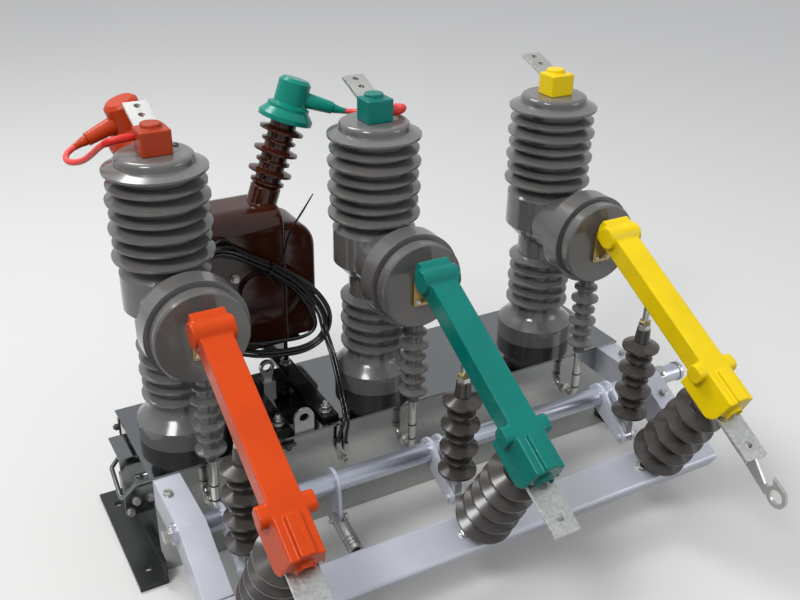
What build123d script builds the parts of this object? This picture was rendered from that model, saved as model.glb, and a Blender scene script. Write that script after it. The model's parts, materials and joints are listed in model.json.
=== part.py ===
"""Three-pole outdoor automatic circuit recloser with a ganged disconnector.

Millimetres. X runs along the mechanism box from the red pole to the yellow one, Y points
away from the disconnector blades, Z is up. The origin is on the floor under the green pole.
"""

import os
from math import cos, hypot, pi, radians, sin, sqrt, tan

from build123d import *

os.makedirs("parts", exist_ok=True)

# Phases and their spacing
PHASES = ("red", "green", "yellow")
PHASE_PITCH = 380.0

# Clearances
FIT = 0.3
PIN_FIT = 0.05

# Mechanism box
BOX_LEFT = -468.0
BOX_RIGHT = 505.0
BOX_FRONT = -112.0
BOX_BACK = 106.0
BOX_TOP = 203.0
LID_THICK = 4.0
LID_OVERHANG = 4.0

# Foot angles bolted to the box ends
RAIL_THICK = 8.0
RAIL_SIDE_REACH = 49.0
RAIL_LEG_HEIGHT = 48.0
RAIL_FRONT_REACH = 32.0
RAIL_HOLE = 14.0
RAIL_HOLE_SIDE = 24.0
RAIL_HOLE_END = 43.0

# Pole, levels are heights above the lid
FLANGE_RADIUS = 75.0
FLANGE_HEIGHT = 41.0
FLANGE_ROUND = 6.0
FLANGE_CONE = 8.0
FLANGE_CONE_HEIGHT = 14.0
LOWER_CORE_RADIUS = 46.0
LOWER_SHED_RADII = (62.0, 54.0)
LOWER_SHED_COUNT = 5
LOWER_SHED_FIRST = 81.0
LOWER_SHED_PITCH = 23.5
HOUSING_RADIUS = 74.0
HOUSING_FOOT = 252.0
HOUSING_HEIGHT = 74.0
HOUSING_SHOULDER = 12.0
HOUSING_TAPER = 30.0
CORE_LEAD_IN = 6.0
UPPER_CORE_RADIUS = 56.0
UPPER_SHED_RADII = (82.0, 70.0)
UPPER_SHED_COUNT = 7
UPPER_SHED_FIRST = 340.0
UPPER_SHED_PITCH = 23.7
SHED_TIP = 4.0
SHED_SLOPE = 0.35
DOME_RADIUS = 62.0
DOME_ROUND = 9.0
DOME_HEIGHT = 22.0

# Cap and connection plate on the pole head
CAP_WIDTH = 49.0
CAP_DEPTH = 45.0
CAP_HEIGHT = 39.0
CAP_SHIFT = -3.0
CAP_CORNER = 4.0
CAP_EDGE = 2.0
CAP_BOSS_RADIUS = 16.5
CAP_BOSS_HEIGHT = 7.0
CAP_BOSS_SHIFT = 2.0
TERMINAL_WIDTH = 39.0
TERMINAL_THICK = 6.0
TERMINAL_REACH = 81.0
TERMINAL_TILT = 20.0
TERMINAL_HOLE = 11.0
TERMINAL_HOLE_PITCH = 24.0
TERMINAL_SLOT_HEIGHT = 30.0

# Current transformer round the outlet
OUTLET_HEIGHT = 269.0
OUTLET_NECK_RADIUS = 60.0
CT_RADIUS = 84.0
CT_BACK = -106.0
CT_GROOVE_RADIUS = 72.0
CT_GROOVE_START = -150.0
CT_PLATE_RADIUS = 76.5
CT_PLATE_START = -156.0
CT_FRONT = -176.0
CT_ROUND = 3.0

# Secondary bushing below the current transformer, and its conduit
BUSHING_OFFSET = 6.0
BUSHING_Y = -142.0
BUSHING_CORE_RADIUS = 15.0
BUSHING_SHED_RADII = (26.0, 22.0)
BUSHING_SHED_COUNT = 6
BUSHING_SHED_FIRST = 44.0
BUSHING_SHED_PITCH = 24.0
BUSHING_FOOT = 24.0
BUSHING_FOOT_RADIUS = 11.0
CONDUIT_RADIUS = 7.5
CONDUIT_BEND = 16.0
CONDUIT_DROP = 80.0

# Disconnector: along runs down the blade from the hinge, rise is square to it
BLADE_ANGLE = 28.5
HINGE_Y = -222.0
HINGE_Z = 508.0
HINGE_BASE_WIDTH = 40.0
HINGE_BASE_HEIGHT = 62.0
HINGE_BASE_THICK = 6.0
HINGE_TONGUE = 12.0
HINGE_TONGUE_MARGIN = 6.0
HINGE_EYE_RADIUS = 12.0
PIN_RADIUS = 5.0
KNIFE_THICK = 6.0
KNIFE_TOP = 9.7
KNIFE_BOTTOM = -24.0
KNIFE_END = 352.0
ROD_PIN_ALONG = 112.2
ROD_PIN_RISE = -9.6
COVER_WIDTH = 49.0
COVER_WALL = 2.5
COVER_TOP = 12.5
COVER_BOTTOM = -25.5
HEAD_BACK = -30.0
HEAD_TOP = 17.0
HEAD_ROUND = 7.0
HEAD_SLANT_RISE = -4.0
HEAD_SLANT_BACK = -22.0
HEAD_FRONT = 9.0
HEAD_FRONT_RUN = 7.0
HEAD_WIDTH = 54.0
HEAD_WALL = 4.0
COVER_END = 366.0
COVER_END_WALL = 16.0
HEAD_BOSS_RADIUS = 20.0
HEAD_BOSS_WALL = 3.0
HEAD_SLOT_CLEAR = 5.0
HEAD_SLOT_TOP = 9.0
HEAD_BOSS_REACH = 33.0
SKIRT_START = 278.0
SKIRT_WIDTH = 68.0
SKIRT_BOTTOM = -45.5
SIDE_BOSS_ALONG = 291.0
SIDE_BOSS_LENGTH = 30.0
SIDE_BOSS_HEIGHT = 28.0
SIDE_BOSS_ROUND = 10.0
SIDE_BOSS_REACH = 41.0
RIB_WIDTH = 22.0
RIB_HEIGHT = 8.0
RIB_START = 304.0

# Outlet terminal with the fixed contact, and its post insulator
OUTLET_TOP = -32.0
OUTLET_THICK = 6.0
OUTLET_WIDTH = 46.0
OUTLET_START = 298.0
OUTLET_END = 447.0
OUTLET_HOLE = 13.0
OUTLET_HOLE_FROM_END = 26.0
CONTACT_START = 318.0
CONTACT_END = 348.0
CONTACT_TOP = -2.0
BEAM_LEVEL = -258.7
POST_ALONG = 324.0
POST_HEAD_RADIUS = 20.0
POST_HEAD_HEIGHT = 15.0
POST_FOOT_RADIUS = 30.0
POST_FOOT_HEIGHT = 12.0
POST_CORE_RADIUS = 27.0
POST_SHED_RADIUS = 45.0
POST_SHED_GROWTH = 1.2
POST_SHED_COUNT = 5
POST_SHED_FIRST = 24.0
POST_SHED_PITCH = 38.0
POST_SHED_SLOPE = 0.55

# Frame that carries the posts
ARM_WIDTH = 45.0
ARM_DEPTH = 56.0
ARM_WALL = 3.0
BEAM_START = 297.0
BEAM_WIDTH = 68.0
BEAM_DEPTH = 40.0
BEAM_WALL = 3.0
BEAM_ROUND = 7.0
BEAM_OVERHANG = 6.0

# Rotating shaft with its levers
SHAFT_Y = -231.0
SHAFT_Z = 176.0
SHAFT_RADIUS = 17.5
SHAFT_LEFT_REACH = 8.0
SHAFT_RIGHT_REACH = 62.0
SHAFT_CAP_LENGTH = 7.0
SHAFT_CAP_RADIUS = 13.0
LEVER_Y = -305.0
LEVER_Z = 127.0
LEVER_THICK = 6.0
LEVER_HUB_RADIUS = 25.0
LEVER_EYE_RADIUS = 13.0

# Operating lever and the clevis coupling pinned to its end for the drive rod
OPERATING_X = -197.0
OPERATING_THICK = 6.0
OPERATING_PIN_Y = -249.0
OPERATING_PIN_Z = 110.0
OPERATING_EYE_RADIUS = 12.0
COUPLING_DROP = 13.4
COUPLING_RADIUS = 13.0
COUPLING_LENGTH = 69.0
COUPLING_CORNER = 5.0
COUPLING_PIN_RADIUS = 4.0
COUPLING_PIN_REACH = 17.0
COUPLING_PIN_HEAD = 6.5
COUPLING_PIN_SEAT = 2.0
COUPLING_SLOT = 7.0
COUPLING_SLOT_END = 16.0
COUPLING_BORE = 8.0
COUPLING_BORE_START = 27.0
COUPLING_GROOVE_STARTS = (46.0, 53.0, 60.0)
COUPLING_GROOVE_WIDTH = 3.0
COUPLING_GROOVE_DEPTH = 1.5

# Pull rod between lever and blade, levels are distances from its foot pin
FOOT_WIDTH = 14.0
FOOT_EYE_RADIUS = 12.0
FOOT_PLATE_END = 31.0
PULL_START = 44.0
PULL_END = 236.0
PULL_TAPER = 24.0
PULL_CORE_RADIUS = 14.0
PULL_HEAD_RADIUS = 12.0
PULL_SHED_RADII = (33.0, 24.0)
PULL_SHED_COUNT = 7
PULL_SHED_FIRST = 56.0
PULL_SHED_PITCH = 23.5
PULL_SHED_SLOPE = 0.4
ROD_RADIUS = 6.0
ROD_NUT_RADIUS = 11.0
ROD_NUT_HEIGHT = 10.0
ROD_EYE_RADIUS = 13.0
ROD_EYE_THICK = 10.0
ROD_EYE_PLAY = 2.5

# Voltage transformer between the red and green poles
VT_X = -231.0
VT_Y = 156.0
VT_LENGTH = 328.0
VT_DEPTH = 130.0
VT_BOTTOM = 270.0
VT_TOP = 540.0
VT_ROUND = 38.0
VT_EDGE = 12.0
VT_END_LENGTH = 64.0
VT_END_DEPTH = 100.0
VT_END_DROP = 36.0
VT_END_ROUND = 56.0
VT_BOX_RADIUS = 33.0
VT_BOX_X = -194.0
VT_BOX_Z = 391.0
VT_BOX_REACH = 10.0
VT_BUSHING_SPREAD = 78.0
VT_BUSHING_ROOT = 530.0
VT_BUSHING_LEAN = 19.5
VT_BUSHING_SINK = 40.0
VT_BUSHING_NECK = 28.0
VT_BUSHING_NECK_END = 40.0
VT_BUSHING_CORE = 24.0
VT_BUSHING_RADII = (31.0, 40.0)
VT_BUSHING_SHEDS = 6
VT_BUSHING_FIRST = 42.0
VT_BUSHING_PITCH = 19.5
VT_SHED_SLOPE = 0.3

# Hoods over the bushing heads, levels along the bushing
HOOD_START = 162.0
HOOD_RADIUS = 49.0
HOOD_RIM_HEIGHT = 8.0
HOOD_STEP_RADIUS = 38.0
HOOD_STEP = 26.0
HOOD_BODY_RADIUS = 29.0
HOOD_HEIGHT = 75.0
HOOD_ROUND = 6.0
SPOUT_LEVEL = 205.0
SPOUT_RADIUS = 16.0
SPOUT_TIP_RADIUS = 11.0
SPOUT_REACH = 76.0
SPOUT_TWIST = {"red": 8.0, "green": 18.0}
HV_LEAD_RADIUS = 5.0

# Stand that carries the voltage transformer on the lid
STAND_X = -185.0
STAND_SPREAD = 92.0
STAND_RAIL_WIDTH = 32.0
STAND_RAIL_HEIGHT = 8.0
STAND_FRONT = -100.0
STAND_BACK = 214.0
STAND_WEB = 8.0
STAND_WEB_START = 100.0
STAND_TABLE = 8.0
STAND_TABLE_OVERHANG = 30.0

# Secondary lead of the voltage transformer: tied hank and the tail to the box
HANK_RADIUS = 12.0
TAIL_RADIUS = 3.0

# Lifting lug on the lid's front edge
LUG_X = -195.0
LUG_WIDTH = 37.0
LUG_HEIGHT = 48.0
LUG_THICK = 5.0
LUG_FOOT = 20.0
LUG_HOLE_RADIUS = 9.0

# Ring lugs stacked on one bolt on the box front, where the two wires of the tail end
LUG_BOLT_X = -121.0
LUG_BOLT_Z = 124.0
LUG_BOLT_RADIUS = 4.0
LUG_BOLT_REACH = 20.0
LUG_BOLT_HEAD = 7.5
LUG_BOLT_HEAD_HEIGHT = 5.5
RING_BARREL_RADIUS = 5.0
RING_BARREL_LENGTH = 16.0
RING_RADIUS = 9.0
RING_THICK = 2.0

# Hook plate below the yellow outlet terminal, points in the blade's own axes
HOOK_X = 362.0
HOOK_THICK = 5.0
HOOK_FLANGE_END = 400.0
HOOK_FLANGE_THICK = 4.0
HOOK_START = 396.0
HOOK_STEM = ((396.0, -38.0), (447.5, -38.0), (449.0, -20.0), (487.0, -34.0), (500.0, -30.0), (500.0, -48.0), (440.0, -44.0), (396.0, -44.0))
HOOK_PRONG = ((499.0, -22.0), (489.0, -10.0), (521.0, -9.0), (531.0, -24.0), (514.0, -30.0))
HOOK_RING = (513.6, -30.0)
HOOK_RING_RADIUS = 19.0
HOOK_RING_HOLE = 12.0

# Lifting eye between the stand's rails
EYE_X = -199.0
EYE_Y = 50.0
EYE_RADIUS = 14.0
EYE_HOLE = 8.5
EYE_THICK = 8.0
EYE_HEIGHT = 47.0
EYE_BLOCK = 24.0
EYE_BLOCK_HEIGHT = 20.0

# Folded bracket and pull handle at the box's left end
BRACKET_REACH = 32.0
BRACKET_FRONT = -20.0
BRACKET_BACK = 53.0
BRACKET_TOP = 187.0
BRACKET_BOTTOM = 64.0
BRACKET_THICK = 3.0
HANDLE_BOSS_RADIUS = 11.0
HANDLE_BOSS_LENGTH = 16.0
HANDLE_ROD_RADIUS = 4.0
HANDLE_BEND = 6.0
HANDLE = (
    (-478.0, -54.0, 160.0),
    (-510.0, -50.0, 127.0),
    (-510.0, 2.0, 160.0),
    (-494.0, 12.0, 170.0),
    (-468.0, 12.0, 170.0),
)

# Routes of the leads, from the hoods' spouts to the caps and round the hank
RED_LEAD = (
    (-448.6, 145.4, 698.0),
    (-473.8, 141.6, 689.1),
    (-490.5, 121.5, 683.0),
    (-490.0, 94.0, 681.0),
    (-473.0, 71.0, 688.0),
    (-462.0, 46.0, 706.0),
    (-450.5, 18.5, 728.5),
    (-427.0, 8.0, 736.0),
    (-404.8, 8.0, 736.0),
)
GREEN_LEAD = (
    (-16.2, 132.4, 699.0),
    (4.4, 125.3, 691.7),
    (27.0, 112.0, 692.5),
    (46.0, 92.0, 699.0),
    (59.0, 66.0, 708.0),
    (64.6, 42.0, 716.0),
    (64.6, 18.0, 721.5),
    (59.5, 5.7, 722.0),
    (50.1, -3.7, 722.0),
    (37.8, -8.8, 722.0),
    (24.6, -8.8, 722.0),
)
HANK = (
    (-243.0, 78.9, 483.0),
    (-226.0, 78.9, 472.5),
    (-172.0, 78.9, 438.5),
    (-124.6, 74.0, 401.0),
    (-94.0, 65.0, 362.0),
    (-80.0, 53.0, 325.0),
    (-90.5, 45.5, 296.0),
    (-121.8, 49.0, 280.0),
    (-168.1, 58.0, 279.0),
    (-215.5, 63.0, 285.0),
    (-262.0, 68.0, 303.0),
    (-302.0, 73.0, 337.0),
    (-325.0, 77.0, 385.0),
    (-325.0, 78.9, 437.0),
    (-305.0, 78.9, 479.0),
    (-272.0, 78.9, 494.0),
    (-243.3, 78.9, 483.4),
)
TAIL_LEFT = (
    (-86.0, 41.0, 306.0),
    (-90.0, 24.0, 304.0),
    (-93.0, 4.0, 292.0),
    (-95.0, -22.0, 267.0),
    (-100.0, -50.0, 242.0),
    (-107.0, -77.0, 226.0),
    (-113.0, -98.0, 220.5),
    (-120.0, -118.0, 215.0),
    (-127.0, -126.5, 200.0),
    (-133.0, -120.0, 182.0),
    (-133.0, -120.0, 166.0),
)
TAIL_RIGHT = (
    (-80.5, 41.0, 309.0),
    (-84.0, 24.0, 306.5),
    (-87.0, 4.0, 294.0),
    (-89.0, -22.0, 269.0),
    (-94.0, -50.0, 244.0),
    (-101.0, -77.0, 228.0),
    (-107.0, -98.0, 222.5),
    (-113.0, -118.0, 217.0),
    (-117.0, -127.0, 200.0),
    (-119.0, -120.5, 178.0),
    (-119.0, -120.5, 160.0),
)

POLE_X = {phase: (index - 1) * PHASE_PITCH for index, phase in enumerate(PHASES)}
LEAN = radians(BLADE_ANGLE)
DOWN_BLADE = (0, -cos(LEAN), -sin(LEAN))
OFF_BLADE = (0, -sin(LEAN), cos(LEAN))
ALONG_X = (1, 0, 0)
LID_TOP = BOX_TOP
OUTLET_Z = LID_TOP + OUTLET_HEIGHT


def save(piece, name):
    """Label a finished piece and write it to its STEP file."""
    piece.part.label = name
    export_step(piece.part, f"parts/{name}.step")


def upright_plane(x, y):
    """Plane through (x, y) with local x to +X and local y to +Z."""
    return Plane(origin=(x, y, 0), x_dir=ALONG_X, z_dir=(0, -1, 0))


def blade_point(x, along, rise):
    """Point at x, a distance along the blade and a rise square to it."""
    y = HINGE_Y - along * cos(LEAN) - rise * sin(LEAN)
    z = HINGE_Z - along * sin(LEAN) + rise * cos(LEAN)
    return (x, y, z)


def blade_side(x):
    """Plane across X, local x along the blade, local y its rise, normal to -X."""
    return Plane(origin=(x, HINGE_Y, HINGE_Z), x_dir=DOWN_BLADE, z_dir=(-1, 0, 0))


def blade_section(x, along):
    """Plane across the blade, local x to +X, local y its rise, normal along it."""
    return Plane(origin=blade_point(x, along, 0), x_dir=ALONG_X, z_dir=DOWN_BLADE)


def blade_flat(x, along, rise):
    """Plane parallel to the blade's top, local x along it, normal to its rise."""
    return Plane(origin=blade_point(x, along, rise), x_dir=DOWN_BLADE, z_dir=OFF_BLADE)


def shed_outline(core, tip, level, slope):
    """Half outline of one shed, with a flat drip edge and sloped faces."""
    fall = (tip - core) * slope
    return [
        (core - 1, level + SHED_TIP + fall),
        (core, level + SHED_TIP + fall),
        (tip, level + SHED_TIP),
        (tip, level),
        (core, level + fall / 2),
        (core - 1, level + fall / 2),
    ]


def bend_radii(points):
    """Largest arcs that the runs beside each inner corner of a route allow."""
    runs = [Vector(*b) - Vector(*a) for a, b in zip(points, points[1:])]
    radii = []
    for before, after in zip(runs, runs[1:]):
        half_turn = radians(before.get_angle(after)) / 2
        radii.append(0.45 * min(before.length, after.length) / tan(half_turn))
    return radii


def side_pairs(inner, thick):
    """Start offsets of two plates of one thickness, an inner distance either side of a plane."""
    return (inner, -inner - thick)


# Mechanism box with its lid and the rails below
box_centre = ((BOX_LEFT + BOX_RIGHT) / 2, (BOX_FRONT + BOX_BACK) / 2)
box_length = BOX_RIGHT - BOX_LEFT
box_depth = BOX_BACK - BOX_FRONT
with BuildPart() as box:
    with BuildSketch():
        with Locations(box_centre):
            Rectangle(box_length, box_depth)
    extrude(amount=LID_TOP - LID_THICK)
save(box, "mechanism_box")

with BuildPart() as lid:
    with BuildSketch(Plane.XY.offset(LID_TOP - LID_THICK)):
        with Locations(box_centre):
            Rectangle(box_length + 2 * LID_OVERHANG, box_depth + 2 * LID_OVERHANG)
    extrude(amount=LID_THICK)
save(lid, "box_lid")

with BuildPart() as rails:
    rail_length = box_depth + 2 * RAIL_FRONT_REACH
    for side in (-1, 1):
        box_end = box_centre[0] + side * box_length / 2
        with BuildSketch():
            with Locations((box_end + side * RAIL_SIDE_REACH / 2, box_centre[1])):
                Rectangle(RAIL_SIDE_REACH, rail_length)
            for end in (-1, 1):
                hole_y = box_centre[1] + end * (rail_length / 2 - RAIL_HOLE_END)
                with Locations((box_end + side * RAIL_HOLE_SIDE, hole_y)):
                    Circle(RAIL_HOLE / 2, mode=Mode.SUBTRACT)
        extrude(amount=RAIL_THICK)
        with BuildSketch():
            with Locations((box_end + side * RAIL_THICK / 2, box_centre[1])):
                Rectangle(RAIL_THICK, rail_length)
        extrude(amount=RAIL_LEG_HEIGHT)
save(rails, "base_rails")

# Poles, each a grey epoxy column cast round its interrupter, with the outlet neck
upper_end = UPPER_SHED_FIRST + (UPPER_SHED_COUNT - 1) * UPPER_SHED_PITCH + SHED_TIP
pole_top = LID_TOP + upper_end + DOME_HEIGHT
for phase, pole_x in POLE_X.items():
    with BuildPart() as pole:
        with BuildSketch(upright_plane(pole_x, 0)):
            with BuildLine():
                Polyline(
                    (DOME_RADIUS - DOME_ROUND, pole_top),
                    (0, pole_top),
                    (0, LID_TOP),
                    (FLANGE_RADIUS, LID_TOP),
                    (FLANGE_RADIUS, LID_TOP + FLANGE_HEIGHT - FLANGE_ROUND),
                    (FLANGE_RADIUS - FLANGE_ROUND, LID_TOP + FLANGE_HEIGHT),
                    (LOWER_CORE_RADIUS + FLANGE_CONE, LID_TOP + FLANGE_HEIGHT + FLANGE_CONE_HEIGHT),
                    (LOWER_CORE_RADIUS, LID_TOP + LOWER_SHED_FIRST - CORE_LEAD_IN),
                    (LOWER_CORE_RADIUS, LID_TOP + HOUSING_FOOT - HOUSING_TAPER),
                    (HOUSING_RADIUS, LID_TOP + HOUSING_FOOT),
                    (HOUSING_RADIUS, LID_TOP + HOUSING_FOOT + HOUSING_HEIGHT - HOUSING_SHOULDER),
                    (HOUSING_RADIUS - HOUSING_SHOULDER, LID_TOP + HOUSING_FOOT + HOUSING_HEIGHT),
                    (UPPER_CORE_RADIUS, LID_TOP + UPPER_SHED_FIRST - CORE_LEAD_IN),
                    (UPPER_CORE_RADIUS, LID_TOP + upper_end),
                    (DOME_RADIUS, LID_TOP + upper_end),
                    (DOME_RADIUS, pole_top - DOME_ROUND),
                )
                RadiusArc((DOME_RADIUS, pole_top - DOME_ROUND), (DOME_RADIUS - DOME_ROUND, pole_top), -DOME_ROUND)
            make_face()
            for index in range(LOWER_SHED_COUNT):
                level = LID_TOP + LOWER_SHED_FIRST + index * LOWER_SHED_PITCH
                tip = LOWER_SHED_RADII[index % len(LOWER_SHED_RADII)]
                with BuildLine():
                    Polyline(*shed_outline(LOWER_CORE_RADIUS, tip, level, SHED_SLOPE), close=True)
                make_face()
            for index in range(UPPER_SHED_COUNT):
                level = LID_TOP + UPPER_SHED_FIRST + index * UPPER_SHED_PITCH
                tip = UPPER_SHED_RADII[index % len(UPPER_SHED_RADII)]
                with BuildLine():
                    Polyline(*shed_outline(UPPER_CORE_RADIUS, tip, level, SHED_SLOPE), close=True)
                make_face()
        revolve(axis=Axis((pole_x, 0, 0), (0, 0, 1)))
        with BuildSketch(Plane(origin=(pole_x, 0, OUTLET_Z), x_dir=ALONG_X, z_dir=(0, -1, 0))):
            Circle(OUTLET_NECK_RADIUS)
        extrude(amount=-CT_BACK)
    save(pole, f"pole_{phase}")

# Cap blocks on the pole heads, with the connection plates that leave them at the back
cap_top = pole_top + CAP_HEIGHT
for phase, pole_x in POLE_X.items():
    with BuildPart() as cap:
        with BuildSketch(Plane.XY.offset(pole_top)):
            with Locations((pole_x, CAP_SHIFT)):
                RectangleRounded(CAP_WIDTH, CAP_DEPTH, CAP_CORNER)
        extrude(amount=CAP_HEIGHT)
        fillet(cap.edges().group_by(Axis.Z)[-1], CAP_EDGE)
        with BuildSketch(Plane.XY.offset(cap_top)):
            with Locations((pole_x, CAP_BOSS_SHIFT)):
                Circle(CAP_BOSS_RADIUS)
        extrude(amount=CAP_BOSS_HEIGHT)
        fillet(cap.edges().group_by(Axis.Z)[-1], CAP_EDGE)
    save(cap, f"terminal_cap_{phase}")

with BuildPart() as terminals:
    cap_back = CAP_SHIFT + CAP_DEPTH / 2
    plate_length = (TERMINAL_REACH - cap_back) / cos(radians(TERMINAL_TILT))
    for pole_x in POLE_X.values():
        plate_plane = Plane(
            origin=(pole_x, cap_back + TERMINAL_THICK * sin(radians(TERMINAL_TILT)), pole_top + TERMINAL_SLOT_HEIGHT),
            x_dir=ALONG_X,
            z_dir=(0, -sin(radians(TERMINAL_TILT)), cos(radians(TERMINAL_TILT))),
        )
        with BuildSketch(plate_plane):
            with Locations((0, plate_length / 2)):
                Rectangle(TERMINAL_WIDTH, plate_length)
            with Locations(
                (0, plate_length - TERMINAL_HOLE_PITCH / 2),
                (0, plate_length - TERMINAL_HOLE_PITCH * 3 / 2),
            ):
                Circle(TERMINAL_HOLE / 2, mode=Mode.SUBTRACT)
    extrude(amount=TERMINAL_THICK)
save(terminals, "top_terminals")

# Current transformers, each a grooved disc in front of the outlet neck
for phase, pole_x in POLE_X.items():
    with BuildPart() as transformer:
        with BuildSketch(Plane(origin=(pole_x, 0, OUTLET_Z), x_dir=(0, -1, 0), z_dir=(-1, 0, 0))):
            with BuildLine():
                Polyline(
                    (-CT_BACK, 0),
                    (-CT_BACK, CT_RADIUS - 2 * CT_ROUND),
                    (-CT_BACK + 2 * CT_ROUND, CT_RADIUS),
                    (-CT_GROOVE_START, CT_RADIUS),
                    (-CT_GROOVE_START, CT_GROOVE_RADIUS),
                    (-CT_PLATE_START, CT_GROOVE_RADIUS),
                    (-CT_PLATE_START, CT_PLATE_RADIUS),
                    (-CT_FRONT - CT_ROUND, CT_PLATE_RADIUS),
                    (-CT_FRONT, CT_PLATE_RADIUS - CT_ROUND),
                    (-CT_FRONT, 0),
                    close=True,
                )
            make_face()
        revolve(axis=Axis((pole_x, 0, OUTLET_Z), (0, 1, 0)))
    save(transformer, f"current_transformer_{phase}")

# Secondary bushings, small shedded columns cut to the current transformers above them
with BuildPart() as bushings:
    for pole_x in POLE_X.values():
        column_x = pole_x + BUSHING_OFFSET
        with BuildSketch(upright_plane(column_x, BUSHING_Y)):
            with BuildLine():
                Polyline(
                    (0, LID_TOP + BUSHING_FOOT),
                    (BUSHING_FOOT_RADIUS, LID_TOP + BUSHING_FOOT),
                    (BUSHING_FOOT_RADIUS, LID_TOP + BUSHING_SHED_FIRST - 8),
                    (BUSHING_CORE_RADIUS, LID_TOP + BUSHING_SHED_FIRST),
                    (BUSHING_CORE_RADIUS, OUTLET_Z - CT_GROOVE_RADIUS),
                    (0, OUTLET_Z - CT_GROOVE_RADIUS),
                    close=True,
                )
            make_face()
            for index in range(BUSHING_SHED_COUNT):
                level = LID_TOP + BUSHING_SHED_FIRST + index * BUSHING_SHED_PITCH
                tip = BUSHING_SHED_RADII[index % len(BUSHING_SHED_RADII)]
                with BuildLine():
                    Polyline(*shed_outline(BUSHING_CORE_RADIUS, tip, level, SHED_SLOPE), close=True)
                make_face()
        revolve(axis=Axis((column_x, BUSHING_Y, 0), (0, 0, 1)))
        with BuildSketch(Plane(origin=(pole_x, 0, OUTLET_Z), x_dir=ALONG_X, z_dir=(0, -1, 0))):
            Circle(CT_RADIUS + FIT)
        extrude(amount=-CT_FRONT, mode=Mode.SUBTRACT)
save(bushings, "secondary_bushings")

with BuildPart() as conduits:
    for pole_x in POLE_X.values():
        column_x = pole_x + BUSHING_OFFSET
        conduit_top = (column_x, BUSHING_Y, LID_TOP + BUSHING_FOOT)
        conduit_turn = (column_x, BUSHING_Y, LID_TOP - CONDUIT_DROP)
        conduit_end = (column_x, BOX_FRONT, LID_TOP - CONDUIT_DROP)
        with BuildLine() as conduit_path:
            FilletPolyline(conduit_top, conduit_turn, conduit_end, radius=CONDUIT_BEND)
        with BuildSketch(Plane(origin=conduit_top, z_dir=(0, 0, -1))):
            Circle(CONDUIT_RADIUS)
        sweep(path=conduit_path.line)
save(conduits, "lead_conduits")

# Hinge contacts, a plate on the transformer's face and a tongue to the hinge pin
with BuildPart() as hinges:
    for pole_x in POLE_X.values():
        base_plane = Plane(origin=(pole_x, CT_FRONT, OUTLET_Z), x_dir=ALONG_X, z_dir=(0, -1, 0))
        with BuildSketch(base_plane):
            RectangleRounded(HINGE_BASE_WIDTH, HINGE_BASE_HEIGHT, 4)
        extrude(amount=HINGE_BASE_THICK)
        tongue_y = CT_FRONT - HINGE_BASE_THICK
        with BuildSketch(Plane(origin=(pole_x, 0, 0), x_dir=(0, -1, 0), z_dir=(-1, 0, 0))):
            with Locations((-HINGE_Y, HINGE_Z)):
                Circle(HINGE_EYE_RADIUS)
            with Locations((-tongue_y + 1, OUTLET_Z)):
                Rectangle(2, HINGE_BASE_HEIGHT - 2 * HINGE_TONGUE_MARGIN)
            make_hull()
        extrude(amount=HINGE_TONGUE / 2, both=True)
        with BuildSketch(Plane(origin=(pole_x, HINGE_Y, HINGE_Z), z_dir=ALONG_X)):
            Circle(PIN_RADIUS + PIN_FIT)
        extrude(amount=HINGE_TONGUE, both=True, mode=Mode.SUBTRACT)
save(hinges, "hinge_contacts")

# Knife blades, two copper bars held together by the hinge pin and the pull rod's pin
for phase, pole_x in POLE_X.items():
    blade_plane = blade_side(pole_x)
    knife_inner = HINGE_TONGUE / 2 + FIT
    with BuildPart() as knife:
        for start in side_pairs(knife_inner, KNIFE_THICK):
            with BuildSketch(blade_plane.offset(start)):
                with Locations((KNIFE_END / 2, (KNIFE_TOP + KNIFE_BOTTOM) / 2)):
                    Rectangle(KNIFE_END, KNIFE_TOP - KNIFE_BOTTOM)
                Circle(HINGE_EYE_RADIUS)
            extrude(amount=KNIFE_THICK)
        with BuildSketch(blade_plane):
            Circle(PIN_RADIUS)
            with Locations((ROD_PIN_ALONG, ROD_PIN_RISE)):
                Circle(PIN_RADIUS)
        extrude(amount=COVER_WIDTH / 2 - COVER_WALL - FIT, both=True)
    save(knife, f"knife_blade_{phase}")

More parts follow.
